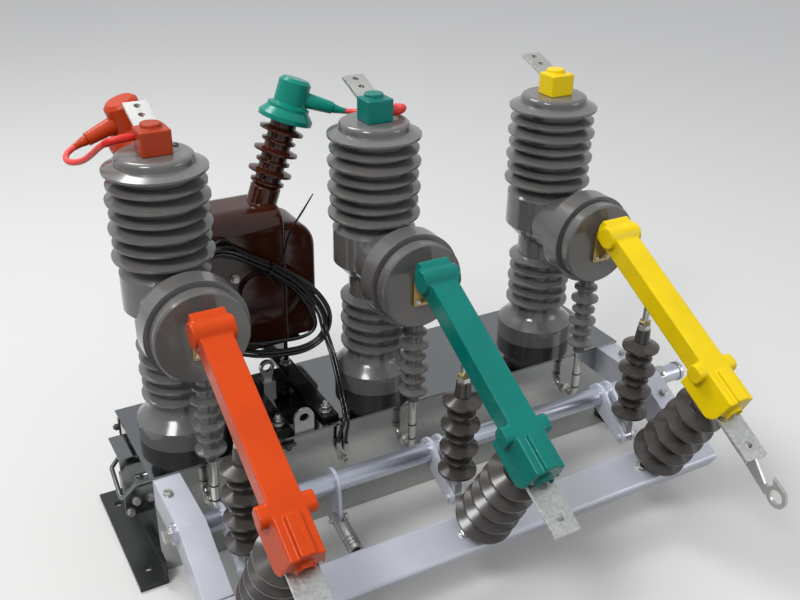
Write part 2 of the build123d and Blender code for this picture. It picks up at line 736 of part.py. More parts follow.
# Insulating covers over the blades, open below, with a wider skirt round the contact
for phase, pole_x in POLE_X.items():
    blade_plane = blade_side(pole_x)
    inner_top = COVER_TOP - COVER_WALL
    inner_half = COVER_WIDTH / 2 - COVER_WALL
    with BuildPart() as cover:
        with BuildSketch(blade_plane):
            with Locations(((HEAD_FRONT + COVER_END) / 2, (COVER_TOP + COVER_BOTTOM) / 2)):
                Rectangle(COVER_END - HEAD_FRONT, COVER_TOP - COVER_BOTTOM)
        extrude(amount=COVER_WIDTH / 2, both=True)
        with BuildSketch(blade_plane):
            with BuildLine():
                RadiusArc((HEAD_BACK, HEAD_TOP - HEAD_ROUND), (HEAD_BACK + HEAD_ROUND, HEAD_TOP), HEAD_ROUND)
                Polyline(
                    (HEAD_BACK + HEAD_ROUND, HEAD_TOP),
                    (HEAD_FRONT, HEAD_TOP),
                    (HEAD_FRONT + HEAD_FRONT_RUN, COVER_TOP - 1),
                    (HEAD_FRONT + HEAD_FRONT_RUN, COVER_BOTTOM),
                    (HEAD_SLANT_BACK, COVER_BOTTOM),
                    (HEAD_BACK, HEAD_SLANT_RISE),
                    (HEAD_BACK, HEAD_TOP - HEAD_ROUND),
                )
            make_face()
        extrude(amount=HEAD_WIDTH / 2, both=True)
        with BuildSketch(blade_section(pole_x, SKIRT_START)):
            with BuildLine():
                Polyline(
                    (-COVER_WIDTH / 2, COVER_TOP),
                    (COVER_WIDTH / 2, COVER_TOP),
                    (SKIRT_WIDTH / 2, SKIRT_BOTTOM),
                    (-SKIRT_WIDTH / 2, SKIRT_BOTTOM),
                    close=True,
                )
            make_face()
        extrude(amount=COVER_END - SKIRT_START)
        with BuildSketch(blade_plane):
            Circle(HEAD_BOSS_RADIUS)
        extrude(amount=HEAD_BOSS_REACH, both=True)
        with BuildSketch(blade_plane):
            with Locations((SIDE_BOSS_ALONG, COVER_TOP - SIDE_BOSS_HEIGHT / 2)):
                RectangleRounded(SIDE_BOSS_LENGTH, SIDE_BOSS_HEIGHT, SIDE_BOSS_ROUND)
        extrude(amount=SIDE_BOSS_REACH, both=True)
        with BuildSketch(blade_flat(pole_x, RIB_START, COVER_TOP)):
            with Locations(((COVER_END - RIB_START) / 2, 0)):
                Rectangle(COVER_END - RIB_START, RIB_WIDTH)
        extrude(amount=RIB_HEIGHT)
        inner_back = HEAD_BACK + COVER_WALL
        with BuildSketch(blade_plane):
            with BuildLine():
                Polyline(
                    (HEAD_SLANT_BACK + COVER_WALL, SKIRT_BOTTOM - 1),
                    (HEAD_SLANT_BACK + COVER_WALL, COVER_BOTTOM),
                    (inner_back, HEAD_SLANT_RISE),
                    (inner_back, HEAD_TOP - HEAD_ROUND),
                    (HEAD_BACK + HEAD_ROUND, HEAD_TOP - HEAD_WALL),
                    (0, HEAD_TOP - HEAD_WALL),
                    (0, inner_top),
                    (COVER_END - COVER_WALL, inner_top),
                    (COVER_END - COVER_WALL, COVER_TOP - COVER_END_WALL),
                    (COVER_END + 1, COVER_TOP - COVER_END_WALL),
                    (COVER_END + 1, SKIRT_BOTTOM - 1),
                    close=True,
                )
            make_face()
        extrude(amount=inner_half, both=True, mode=Mode.SUBTRACT)
        flare = SKIRT_WIDTH / 2 - COVER_WALL
        with BuildSketch(blade_section(pole_x, SKIRT_START + COVER_WALL)):
            with BuildLine():
                Polyline(
                    (-inner_half, inner_top),
                    (inner_half, inner_top),
                    (flare, SKIRT_BOTTOM),
                    (-flare, SKIRT_BOTTOM),
                    close=True,
                )
            make_face()
        extrude(amount=COVER_END - SKIRT_START - 2 * COVER_WALL, mode=Mode.SUBTRACT)
        mouth_top = COVER_TOP - COVER_END_WALL
        mouth_share = (inner_top - mouth_top) / (inner_top - SKIRT_BOTTOM)
        mouth_half = inner_half + (flare - inner_half) * mouth_share
        with BuildSketch(blade_section(pole_x, SKIRT_START + COVER_WALL)):
            with BuildLine():
                Polyline(
                    (-mouth_half, mouth_top),
                    (mouth_half, mouth_top),
                    (flare, SKIRT_BOTTOM),
                    (-flare, SKIRT_BOTTOM),
                    close=True,
                )
            make_face()
        extrude(amount=COVER_END - SKIRT_START, mode=Mode.SUBTRACT)
        with BuildSketch(blade_plane):
            Circle(HEAD_BOSS_RADIUS - HEAD_BOSS_WALL)
        extrude(amount=inner_half, both=True, mode=Mode.SUBTRACT)
        slot_start = HEAD_BACK - 1
        with BuildSketch(blade_plane):
            with Locations((slot_start / 2, (HEAD_SLOT_TOP + COVER_BOTTOM - 1) / 2)):
                Rectangle(-slot_start, HEAD_SLOT_TOP - COVER_BOTTOM + 1)
        extrude(amount=HINGE_TONGUE / 2 + HEAD_SLOT_CLEAR, both=True, mode=Mode.SUBTRACT)
    save(cover, f"blade_cover_{phase}")

# Outlet terminals, each with the fixed contact that the two knives close on
for phase, pole_x in POLE_X.items():
    with BuildPart() as outlet:
        with BuildSketch(blade_flat(pole_x, 0, OUTLET_TOP - OUTLET_THICK)):
            with Locations(((OUTLET_START + OUTLET_END) / 2, 0)):
                RectangleRounded(OUTLET_END - OUTLET_START, OUTLET_WIDTH, 3)
            with Locations((OUTLET_END - OUTLET_HOLE_FROM_END, 0)):
                Circle(OUTLET_HOLE / 2, mode=Mode.SUBTRACT)
        extrude(amount=OUTLET_THICK)
        with BuildSketch(blade_flat(pole_x, 0, OUTLET_TOP)):
            with Locations(((CONTACT_START + CONTACT_END) / 2, 0)):
                Rectangle(CONTACT_END - CONTACT_START, HINGE_TONGUE)
        extrude(amount=CONTACT_TOP - OUTLET_TOP)
    save(outlet, f"outlet_terminal_{phase}")

# Post insulators between the front beam and the outlet terminals
post_length = OUTLET_TOP - OUTLET_THICK - BEAM_LEVEL
for phase, pole_x in POLE_X.items():
    post_foot = blade_point(pole_x, POST_ALONG, BEAM_LEVEL)
    with BuildPart() as post:
        with BuildSketch(Plane(origin=post_foot, x_dir=ALONG_X, z_dir=DOWN_BLADE)):
            with BuildLine():
                Polyline(
                    (0, 0),
                    (POST_FOOT_RADIUS, 0),
                    (POST_FOOT_RADIUS, POST_FOOT_HEIGHT),
                    (POST_CORE_RADIUS, POST_SHED_FIRST - 4),
                    (POST_CORE_RADIUS - 2, post_length - POST_HEAD_HEIGHT - 6),
                    (POST_HEAD_RADIUS, post_length - POST_HEAD_HEIGHT),
                    (POST_HEAD_RADIUS, post_length),
                    (0, post_length),
                    close=True,
                )
            make_face()
            for index in range(POST_SHED_COUNT):
                level = POST_SHED_FIRST + index * POST_SHED_PITCH
                tip = POST_SHED_RADIUS + (POST_SHED_COUNT - 1 - index) * POST_SHED_GROWTH
                with BuildLine():
                    Polyline(
                        *shed_outline(POST_CORE_RADIUS - 2, tip, level, POST_SHED_SLOPE), close=True
                    )
                make_face()
        revolve(axis=Axis(post_foot, OFF_BLADE))
    save(post, f"post_insulator_{phase}")

# Arms, inverted channels that leave the box level and then slope down to the beam
arm_top = LID_TOP - LID_THICK
level_drop = (HINGE_Z + BEAM_LEVEL * cos(LEAN) - arm_top) / sin(LEAN)
bend_y = HINGE_Y - level_drop * cos(LEAN) - BEAM_LEVEL * sin(LEAN)
beam_top_y = blade_point(0, BEAM_START, BEAM_LEVEL)[1]
beam_top_z = blade_point(0, BEAM_START, BEAM_LEVEL)[2]
beam_low_y = blade_point(0, BEAM_START, BEAM_LEVEL - ARM_DEPTH)[1]
beam_low_z = blade_point(0, BEAM_START, BEAM_LEVEL - ARM_DEPTH)[2]
under_bend = ARM_DEPTH * tan(LEAN / 2)
ARMS = {"left_arm": BOX_LEFT + ARM_WIDTH / 2, "right_arm": BOX_RIGHT - ARM_WIDTH / 2}
for name, arm_x in ARMS.items():
    with BuildPart() as arm:
        with BuildSketch(Plane(origin=(arm_x, 0, 0), x_dir=(0, 1, 0), z_dir=(1, 0, 0))):
            with BuildLine():
                Polyline(
                    (BOX_FRONT, arm_top),
                    (bend_y, arm_top),
                    (beam_top_y, beam_top_z),
                    (beam_low_y, beam_low_z),
                    (bend_y + under_bend, arm_top - ARM_DEPTH),
                    (BOX_FRONT, arm_top - ARM_DEPTH),
                    close=True,
                )
            make_face()
        extrude(amount=ARM_WIDTH / 2, both=True)
        with BuildSketch(Plane(origin=(arm_x, 0, 0), x_dir=(0, 1, 0), z_dir=(1, 0, 0))):
            with BuildLine():
                Polyline(
                    (BOX_FRONT + 1, arm_top - ARM_WALL),
                    (bend_y + ARM_WALL * tan(LEAN / 2), arm_top - ARM_WALL),
                    (
                        blade_point(0, BEAM_START + 1, BEAM_LEVEL - ARM_WALL)[1],
                        blade_point(0, BEAM_START + 1, BEAM_LEVEL - ARM_WALL)[2],
                    ),
                    (
                        blade_point(0, BEAM_START + 1, BEAM_LEVEL - ARM_DEPTH - 1)[1],
                        blade_point(0, BEAM_START + 1, BEAM_LEVEL - ARM_DEPTH - 1)[2],
                    ),
                    (bend_y + under_bend, arm_top - ARM_DEPTH - 1),
                    (BOX_FRONT + 1, arm_top - ARM_DEPTH - 1),
                    close=True,
                )
            make_face()
        extrude(amount=ARM_WIDTH / 2 - ARM_WALL, both=True, mode=Mode.SUBTRACT)
        with BuildSketch(Plane(origin=(arm_x, SHAFT_Y, SHAFT_Z), z_dir=ALONG_X)):
            Circle(SHAFT_RADIUS + FIT)
        extrude(amount=ARM_WIDTH, both=True, mode=Mode.SUBTRACT)
    save(arm, name)

# Front beam, a tube across both arms' ends that carries the posts
with BuildPart() as beam:
    beam_plane = Plane(
        origin=blade_point(BOX_LEFT - BEAM_OVERHANG, BEAM_START + BEAM_WIDTH / 2, BEAM_LEVEL - BEAM_DEPTH / 2),
        x_dir=DOWN_BLADE,
        z_dir=ALONG_X,
    )
    with BuildSketch(beam_plane):
        RectangleRounded(BEAM_WIDTH, BEAM_DEPTH, BEAM_ROUND)
        RectangleRounded(
            BEAM_WIDTH - 2 * BEAM_WALL, BEAM_DEPTH - 2 * BEAM_WALL, BEAM_ROUND - BEAM_WALL, mode=Mode.SUBTRACT
        )
    extrude(amount=box_length + 2 * BEAM_OVERHANG)
save(beam, "front_beam")

# Shaft through both arms
shaft_start = BOX_LEFT - SHAFT_LEFT_REACH
shaft_length = box_length + SHAFT_LEFT_REACH + SHAFT_RIGHT_REACH
with BuildPart() as shaft:
    with BuildSketch(Plane(origin=(shaft_start, SHAFT_Y, SHAFT_Z), z_dir=ALONG_X)):
        Circle(SHAFT_RADIUS)
    extrude(amount=shaft_length)
    with BuildSketch(Plane(origin=(shaft_start + shaft_length, SHAFT_Y, SHAFT_Z), z_dir=ALONG_X)):
        Circle(SHAFT_CAP_RADIUS)
    extrude(amount=SHAFT_CAP_LENGTH)
save(shaft, "shaft")

# Levers, two cheeks each, clamped on the shaft, with the pull rod's foot pin
lever_inner = FOOT_WIDTH / 2 + FIT
with BuildPart() as levers:
    for pole_x in POLE_X.values():
        lever_plane = Plane(origin=(pole_x, 0, 0), x_dir=(0, 1, 0), z_dir=ALONG_X)
        for start in side_pairs(lever_inner, LEVER_THICK):
            with BuildSketch(lever_plane.offset(start)):
                with Locations((SHAFT_Y, SHAFT_Z)):
                    Circle(LEVER_HUB_RADIUS)
                with Locations((LEVER_Y, LEVER_Z)):
                    Circle(LEVER_EYE_RADIUS)
                make_hull()
                with Locations((SHAFT_Y, SHAFT_Z)):
                    Circle(SHAFT_RADIUS + PIN_FIT, mode=Mode.SUBTRACT)
            extrude(amount=LEVER_THICK)
        with BuildSketch(lever_plane):
            with Locations((LEVER_Y, LEVER_Z)):
                Circle(PIN_RADIUS)
        extrude(amount=lever_inner + LEVER_THICK + 4, both=True)
save(levers, "rod_levers")

# Operating lever, a plate clamped on the shaft
operating_plane = Plane(origin=(OPERATING_X, 0, 0), x_dir=(0, 1, 0), z_dir=ALONG_X)
with BuildPart() as operating:
    with BuildSketch(operating_plane):
        with Locations((SHAFT_Y, SHAFT_Z)):
            Circle(LEVER_HUB_RADIUS)
        with Locations((OPERATING_PIN_Y, OPERATING_PIN_Z)):
            Circle(OPERATING_EYE_RADIUS)
        make_hull()
        with Locations((SHAFT_Y, SHAFT_Z)):
            Circle(SHAFT_RADIUS + PIN_FIT, mode=Mode.SUBTRACT)
        with Locations((OPERATING_PIN_Y, OPERATING_PIN_Z)):
            Circle(COUPLING_PIN_RADIUS + PIN_FIT, mode=Mode.SUBTRACT)
    extrude(amount=OPERATING_THICK / 2, both=True)
save(operating, "operating_lever")

# Clevis coupling with its pin, an open bore at the far end and grip grooves
coupling_dir = (0, -cos(radians(COUPLING_DROP)), -sin(radians(COUPLING_DROP)))
coupling_pin = (OPERATING_X, OPERATING_PIN_Y, OPERATING_PIN_Z)
coupling_cross = Plane(origin=coupling_pin, x_dir=ALONG_X, z_dir=coupling_dir)
coupling_side = Plane(origin=coupling_pin, x_dir=coupling_dir, z_dir=(-1, 0, 0))
with BuildPart() as coupling:
    with BuildSketch(coupling_cross.offset(-COUPLING_RADIUS)):
        Circle(COUPLING_RADIUS)
    extrude(amount=COUPLING_RADIUS + COUPLING_LENGTH)
    with BuildSketch(coupling_side):
        with Locations(*[(-COUPLING_RADIUS, side * COUPLING_RADIUS) for side in (-1, 1)]):
            Rectangle(2 * COUPLING_CORNER, 2 * COUPLING_CORNER, rotation=45)
    extrude(amount=COUPLING_RADIUS + 1, both=True, mode=Mode.SUBTRACT)
    with BuildSketch(coupling_side):
        with Locations(((COUPLING_SLOT_END - COUPLING_RADIUS - 1) / 2, 0)):
            Rectangle(COUPLING_SLOT_END + COUPLING_RADIUS + 1, 2 * COUPLING_RADIUS + 2)
    extrude(amount=COUPLING_SLOT / 2, both=True, mode=Mode.SUBTRACT)
    with BuildSketch(coupling_cross.offset(COUPLING_BORE_START)):
        Circle(COUPLING_BORE)
    extrude(amount=COUPLING_LENGTH, mode=Mode.SUBTRACT)
    for groove in COUPLING_GROOVE_STARTS:
        with BuildSketch(coupling_cross.offset(groove)):
            Circle(COUPLING_RADIUS + 1)
            Circle(COUPLING_RADIUS - COUPLING_GROOVE_DEPTH, mode=Mode.SUBTRACT)
        extrude(amount=COUPLING_GROOVE_WIDTH, mode=Mode.SUBTRACT)
    with BuildSketch(coupling_side):
        Circle(COUPLING_PIN_RADIUS)
    extrude(amount=COUPLING_PIN_REACH, both=True)
    with BuildSketch(coupling_side.offset(-COUPLING_PIN_REACH)):
        Circle(COUPLING_PIN_HEAD)
    extrude(amount=COUPLING_PIN_REACH - COUPLING_RADIUS + COUPLING_PIN_SEAT)
save(coupling, "coupling")

# Pull rods, insulators with a foot eye between the lever's cheeks and a head eye in the blade
rod_pin = blade_point(0, ROD_PIN_ALONG, ROD_PIN_RISE)
rod_length = hypot(rod_pin[1] - LEVER_Y, rod_pin[2] - LEVER_Z)
rod_dir = (0, (rod_pin[1] - LEVER_Y) / rod_length, (rod_pin[2] - LEVER_Z) / rod_length)
rod_side = (0, rod_dir[2], -rod_dir[1])
for phase, pole_x in POLE_X.items():
    rod_up = Plane(origin=(pole_x, LEVER_Y, LEVER_Z), x_dir=ALONG_X, z_dir=rod_dir)
    rod_across = Plane(origin=(pole_x, LEVER_Y, LEVER_Z), x_dir=rod_side, z_dir=ALONG_X)
    rod_face = Plane(origin=(pole_x, LEVER_Y, LEVER_Z), x_dir=ALONG_X, z_dir=(0, -rod_dir[2], rod_dir[1]))
    with BuildPart() as insulator:
        with BuildSketch(rod_face):
            with BuildLine():
                Polyline(
                    (0, PULL_START),
                    (PULL_HEAD_RADIUS, PULL_START),
                    (PULL_CORE_RADIUS, PULL_SHED_FIRST),
                    (PULL_CORE_RADIUS, PULL_END - PULL_TAPER),
                    (PULL_HEAD_RADIUS, PULL_END),
                    (0, PULL_END),
                    close=True,
                )
            make_face()
            for index in range(PULL_SHED_COUNT):
                level = PULL_SHED_FIRST + index * PULL_SHED_PITCH
                tip = PULL_SHED_RADII[index % len(PULL_SHED_RADII)]
                with BuildLine():
                    Polyline(
                        *shed_outline(PULL_CORE_RADIUS, tip, level, PULL_SHED_SLOPE), close=True
                    )
                make_face()
        revolve(axis=Axis((pole_x, LEVER_Y, LEVER_Z), rod_dir))
    save(insulator, f"pull_insulator_{phase}")

    with BuildPart() as fitting:
        with BuildSketch(rod_up.offset(FOOT_PLATE_END)):
            Circle(PULL_HEAD_RADIUS - 2)
        extrude(amount=PULL_START - FOOT_PLATE_END)
        with BuildSketch(rod_across):
            Circle(FOOT_EYE_RADIUS)
            with Locations((0, FOOT_PLATE_END / 2)):
                Rectangle(2 * PULL_HEAD_RADIUS - 8, FOOT_PLATE_END)
        extrude(amount=FOOT_WIDTH / 2, both=True)
        with BuildSketch(rod_across):
            Circle(PIN_RADIUS + PIN_FIT)
        extrude(amount=FOOT_WIDTH, both=True, mode=Mode.SUBTRACT)
        with BuildSketch(rod_up.offset(PULL_END)):
            Circle(ROD_RADIUS)
        extrude(amount=rod_length - PULL_END - ROD_EYE_RADIUS + 3)
        with BuildSketch(rod_up.offset(PULL_END)):
            RegularPolygon(ROD_NUT_RADIUS, 6)
        extrude(amount=ROD_NUT_HEIGHT)
        with BuildSketch(Plane(origin=(pole_x, rod_pin[1], rod_pin[2]), z_dir=ALONG_X)):
            Circle(ROD_EYE_RADIUS)
        extrude(amount=ROD_EYE_THICK / 2, both=True)
        with BuildSketch(Plane(origin=(pole_x, rod_pin[1], rod_pin[2]), z_dir=ALONG_X)):
            Circle(PIN_RADIUS + ROD_EYE_PLAY)
        extrude(amount=ROD_EYE_THICK, both=True, mode=Mode.SUBTRACT)
    save(fitting, f"rod_fittings_{phase}")

# Voltage transformer, a cast body with a round end and two bushings that lean apart
vt_right = VT_X + VT_LENGTH / 2
vt_front = VT_Y - VT_DEPTH / 2
bushing_lean = radians(VT_BUSHING_LEAN)
BUSHING_SIDE = {"red": -1, "green": 1}
with BuildPart() as transformer_body:
    with BuildSketch(Plane(origin=(VT_X - VT_LENGTH / 2, VT_Y, 0), x_dir=(0, 1, 0), z_dir=ALONG_X)):
        with Locations((0, (VT_BOTTOM + VT_TOP) / 2)):
            Rectangle(VT_DEPTH, VT_TOP - VT_BOTTOM)
    extrude(amount=VT_LENGTH - VT_END_LENGTH)
    top_edges = transformer_body.edges().filter_by(Axis.X).group_by(Axis.Z)[-1]
    fillet(top_edges, VT_ROUND)
    by_x = transformer_body.edges().group_by(Axis.X)
    rims = [edge for edge in by_x[0] + by_x[-1] if edge.center().Z > VT_BOTTOM + 1]
    fillet(rims, VT_EDGE)
    end_top = VT_TOP - VT_END_DROP
    with BuildPart(mode=Mode.PRIVATE) as end_lobe:
        with BuildSketch(Plane(origin=(vt_right - VT_END_LENGTH, VT_Y + VT_END_DEPTH / 2, 0), x_dir=ALONG_X, z_dir=(0, -1, 0))):
            with Locations((0, (VT_BOTTOM + end_top) / 2)):
                Rectangle(2 * VT_END_LENGTH, end_top - VT_BOTTOM)
        extrude(amount=VT_END_DEPTH)
        fillet(end_lobe.edges().filter_by(Axis.Y).group_by(Axis.Z)[-1], VT_END_ROUND)
        by_y = end_lobe.edges().group_by(Axis.Y)
        fillet([edge for edge in by_y[0] + by_y[-1] if edge.center().Z > VT_BOTTOM + 1], VT_EDGE)
    add(end_lobe.part)
    with BuildSketch(Plane(origin=(VT_BOX_X, vt_front, VT_BOX_Z), x_dir=ALONG_X, z_dir=(0, -1, 0))):
        Circle(VT_BOX_RADIUS)
    extrude(amount=VT_BOX_REACH)
    for side in BUSHING_SIDE.values():
        axis_dir = (side * sin(bushing_lean), 0, cos(bushing_lean))
        root = (VT_X + side * VT_BUSHING_SPREAD, VT_Y, VT_BUSHING_ROOT)
        with BuildSketch(Plane(origin=root, x_dir=(cos(bushing_lean), 0, -side * sin(bushing_lean)), z_dir=(0, -1, 0))):
            with BuildLine():
                Polyline(
                    (0, -VT_BUSHING_SINK),
                    (VT_BUSHING_NECK, -VT_BUSHING_SINK),
                    (VT_BUSHING_NECK, VT_BUSHING_NECK_END - 6),
                    (VT_BUSHING_CORE, VT_BUSHING_NECK_END),
                    (VT_BUSHING_CORE, HOOD_START),
                    (0, HOOD_START),
                    close=True,
                )
            make_face()
            for index in range(VT_BUSHING_SHEDS):
                level = VT_BUSHING_FIRST + index * VT_BUSHING_PITCH
                tip = VT_BUSHING_RADII[index % len(VT_BUSHING_RADII)]
                with BuildLine():
                    Polyline(*shed_outline(VT_BUSHING_CORE, tip, level, VT_SHED_SLOPE), close=True)
                make_face()
        revolve(axis=Axis(root, axis_dir))
save(transformer_body, "voltage_transformer")

# Hoods on the bushing heads, with a spout for the lead
for phase, side in BUSHING_SIDE.items():
    axis_dir = (side * sin(bushing_lean), 0, cos(bushing_lean))
    across = (side * cos(bushing_lean), 0, -sin(bushing_lean))
    twist = radians(SPOUT_TWIST[phase])
    spout_dir = (across[0] * cos(twist), -sin(twist), across[2] * cos(twist))
    root = Vector(VT_X + side * VT_BUSHING_SPREAD, VT_Y, VT_BUSHING_ROOT)
    with BuildPart() as hood:
        with BuildSketch(Plane(origin=root, x_dir=across, z_dir=(0, -side, 0))):
            with BuildLine():
                Polyline(
                    (0, HOOD_START),
                    (HOOD_RADIUS, HOOD_START),
                    (HOOD_RADIUS, HOOD_START + HOOD_RIM_HEIGHT),
                    (HOOD_STEP_RADIUS, HOOD_START + HOOD_STEP - 6),
                    (HOOD_STEP_RADIUS, HOOD_START + HOOD_STEP),
                    (HOOD_BODY_RADIUS, HOOD_START + HOOD_STEP + 4),
                    (HOOD_BODY_RADIUS, HOOD_START + HOOD_HEIGHT - HOOD_ROUND),
                    (HOOD_BODY_RADIUS - HOOD_ROUND, HOOD_START + HOOD_HEIGHT),
                    (0, HOOD_START + HOOD_HEIGHT),
                    close=True,
                )
            make_face()
        revolve(axis=Axis(root, axis_dir))
        spout_root = root + Vector(*axis_dir) * SPOUT_LEVEL
        spout_plane = Plane(origin=spout_root, z_dir=spout_dir)
        with BuildSketch(spout_plane):
            Circle(SPOUT_RADIUS)
        with BuildSketch(spout_plane.offset(SPOUT_REACH)):
            Circle(SPOUT_TIP_RADIUS)
        loft()
    save(hood, f"vt_hood_{phase}")
    print(f"spout end {phase}", spout_plane.offset(SPOUT_REACH).origin, "direction", spout_plane.z_dir)

# Leads from the hoods to the caps, and the secondary lead's hank and tail
LEADS = {
    "hv_lead_red": (RED_LEAD, HV_LEAD_RADIUS),
    "hv_lead_green": (GREEN_LEAD, HV_LEAD_RADIUS),
    "secondary_hank": (HANK, HANK_RADIUS),
    "secondary_tail_left": (TAIL_LEFT, TAIL_RADIUS),
    "secondary_tail_right": (TAIL_RIGHT, TAIL_RADIUS),
}
for name, (route, lead_radius) in LEADS.items():
    radii = bend_radii(route)
    print(name, "radii", [round(radius, 1) for radius in radii])
    with BuildPart() as lead:
        with BuildLine() as lead_path:
            FilletPolyline(*route, radius=radii)
        with BuildSketch(Plane(origin=lead_path.line @ 0, z_dir=lead_path.line % 0)):
            Circle(lead_radius)
        sweep(path=lead_path.line)
    lead_length = sum(edge.length for edge in lead_path.edges())
    print(name, "volume share", round(lead.part.volume / (lead_length * pi * lead_radius**2), 4))
    save(lead, name)

# Stand of two rails on the lid with webs and a table below the voltage transformer
with BuildPart() as stand:
    for side in (-1, 1):
        rail_x = STAND_X + side * STAND_SPREAD / 2
        with BuildSketch(Plane.XY.offset(LID_TOP)):
            with Locations((rail_x, (STAND_FRONT + STAND_BACK) / 2)):
                Rectangle(STAND_RAIL_WIDTH, STAND_BACK - STAND_FRONT)
        extrude(amount=STAND_RAIL_HEIGHT)
        with BuildSketch(Plane.XY.offset(LID_TOP + STAND_RAIL_HEIGHT)):
            with Locations((rail_x, (STAND_WEB_START + STAND_BACK) / 2)):
                Rectangle(STAND_WEB, STAND_BACK - STAND_WEB_START)
        extrude(amount=VT_BOTTOM - STAND_TABLE - LID_TOP - STAND_RAIL_HEIGHT)
    with BuildSketch(Plane.XY.offset(VT_BOTTOM - STAND_TABLE)):
        with Locations((STAND_X, (STAND_WEB_START + STAND_BACK) / 2)):
            Rectangle(STAND_SPREAD + 2 * STAND_TABLE_OVERHANG, STAND_BACK - STAND_WEB_START)
    extrude(amount=STAND_TABLE)
save(stand, "vt_stand")

# Lifting lug on the lid's front edge
with BuildPart() as lug:
    with BuildSketch(Plane(origin=(LUG_X, BOX_FRONT + LUG_THICK, LID_TOP), x_dir=ALONG_X, z_dir=(0, -1, 0))):
        with Locations((0, (LUG_HEIGHT - LUG_WIDTH / 2) / 2)):
            Rectangle(LUG_WIDTH, LUG_HEIGHT - LUG_WIDTH / 2)
        with Locations((0, LUG_HEIGHT - LUG_WIDTH / 2)):
            Circle(LUG_WIDTH / 2)
            Circle(LUG_HOLE_RADIUS, mode=Mode.SUBTRACT)
    extrude(amount=LUG_THICK)
    with BuildSketch(Plane.XY.offset(LID_TOP)):
        with Locations((LUG_X, BOX_FRONT + LUG_THICK + LUG_FOOT / 2)):
            Rectangle(LUG_WIDTH, LUG_FOOT)
    extrude(amount=LUG_THICK)
save(lug, "lifting_lug")

# Ring lugs on the box front, with the two wires crimped into their barrels
with BuildPart() as ring_lugs:
    for layer, (ring_x, ring_y, ring_top) in enumerate((TAIL_LEFT[-1], TAIL_RIGHT[-1])):
        barrel_low = ring_top - RING_BARREL_LENGTH
        with BuildSketch(Plane.XY.offset(barrel_low)):
            with Locations((ring_x, ring_y)):
                Circle(RING_BARREL_RADIUS)
        extrude(amount=RING_BARREL_LENGTH)
        face = Plane(origin=(0, BOX_FRONT - layer * RING_THICK, 0), x_dir=ALONG_X, z_dir=(0, -1, 0))
        with BuildSketch(face):
            with Locations((LUG_BOLT_X, LUG_BOLT_Z)):
                Circle(RING_RADIUS)
            with Locations((ring_x, barrel_low + 2)):
                Rectangle(2 * RING_BARREL_RADIUS, 4)
            make_hull()
        extrude(amount=RING_THICK)
        with BuildSketch(face):
            with Locations((ring_x, barrel_low + 2)):
                Rectangle(2 * RING_BARREL_RADIUS, 4)
        extrude(amount=BOX_FRONT - layer * RING_THICK - ring_y)
    with BuildSketch(Plane(origin=(0, BOX_FRONT, 0), x_dir=ALONG_X, z_dir=(0, -1, 0))):
        with Locations((LUG_BOLT_X, LUG_BOLT_Z)):
            Circle(LUG_BOLT_RADIUS)
    extrude(amount=LUG_BOLT_REACH)
    with BuildSketch(Plane(origin=(0, BOX_FRONT - 2 * RING_THICK, 0), x_dir=ALONG_X, z_dir=(0, -1, 0))):
        with Locations((LUG_BOLT_X, LUG_BOLT_Z)):
            RegularPolygon(LUG_BOLT_HEAD, 6)
    extrude(amount=LUG_BOLT_HEAD_HEIGHT)
save(ring_lugs, "tail_lugs")

# Hook plate fixed below the yellow outlet terminal
with BuildPart() as hook:
    with BuildSketch(blade_side(HOOK_X + HOOK_THICK)):
        with BuildLine():
            Polyline(*HOOK_STEM, close=True)
        make_face()
        with BuildLine():
            Polyline(*HOOK_PRONG, close=True)
        make_face()
        with Locations(HOOK_RING):
            Circle(HOOK_RING_RADIUS)
            Circle(HOOK_RING_HOLE, mode=Mode.SUBTRACT)
    extrude(amount=HOOK_THICK)
    with BuildSketch(blade_flat(0, 0, OUTLET_TOP - OUTLET_THICK - HOOK_FLANGE_THICK)):
        with Locations(((HOOK_START + OUTLET_END) / 2, (HOOK_X + HOOK_FLANGE_END) / 2)):
            Rectangle(OUTLET_END - HOOK_START, HOOK_FLANGE_END - HOOK_X)
        with Locations((OUTLET_END - OUTLET_HOLE_FROM_END, PHASE_PITCH)):
            Circle(OUTLET_HOLE / 2, mode=Mode.SUBTRACT)
    extrude(amount=HOOK_FLANGE_THICK)
save(hook, "hook_plate")

# Lifting eye on the lid
with BuildPart() as eye:
    with BuildSketch(Plane.XY.offset(LID_TOP)):
        with Locations((EYE_X, EYE_Y)):
            Rectangle(EYE_BLOCK, EYE_BLOCK)
    extrude(amount=EYE_BLOCK_HEIGHT)
    with BuildSketch(upright_plane(EYE_X, EYE_Y)):
        with Locations((0, LID_TOP + EYE_HEIGHT)):
            Circle(EYE_RADIUS)
        with Locations((0, LID_TOP + EYE_BLOCK_HEIGHT + 1)):
            Rectangle(EYE_RADIUS, 2)
        make_hull()
        with Locations((0, LID_TOP + EYE_HEIGHT)):
            Circle(EYE_HOLE, mode=Mode.SUBTRACT)
    extrude(amount=EYE_THICK / 2, both=True)
save(eye, "lifting_eye")

# Folded bracket on the box's left end, open towards the end
with BuildPart() as bracket:
    with BuildSketch(Plane(origin=(BOX_LEFT - BRACKET_REACH, 0, 0), x_dir=(0, 1, 0), z_dir=ALONG_X)):
        with BuildLine():
            Polyline(
                (BRACKET_FRONT, BRACKET_BOTTOM),
                (BRACKET_FRONT, BRACKET_TOP),
                (BRACKET_BACK, BRACKET_TOP),
                (BRACKET_BACK, BRACKET_TOP - BRACKET_THICK),
                (BRACKET_FRONT + BRACKET_THICK, BRACKET_TOP - BRACKET_THICK),
                (BRACKET_FRONT + BRACKET_THICK, BRACKET_BOTTOM),
                close=True,
            )
        make_face()
    extrude(amount=BRACKET_REACH)
save(bracket, "end_bracket")

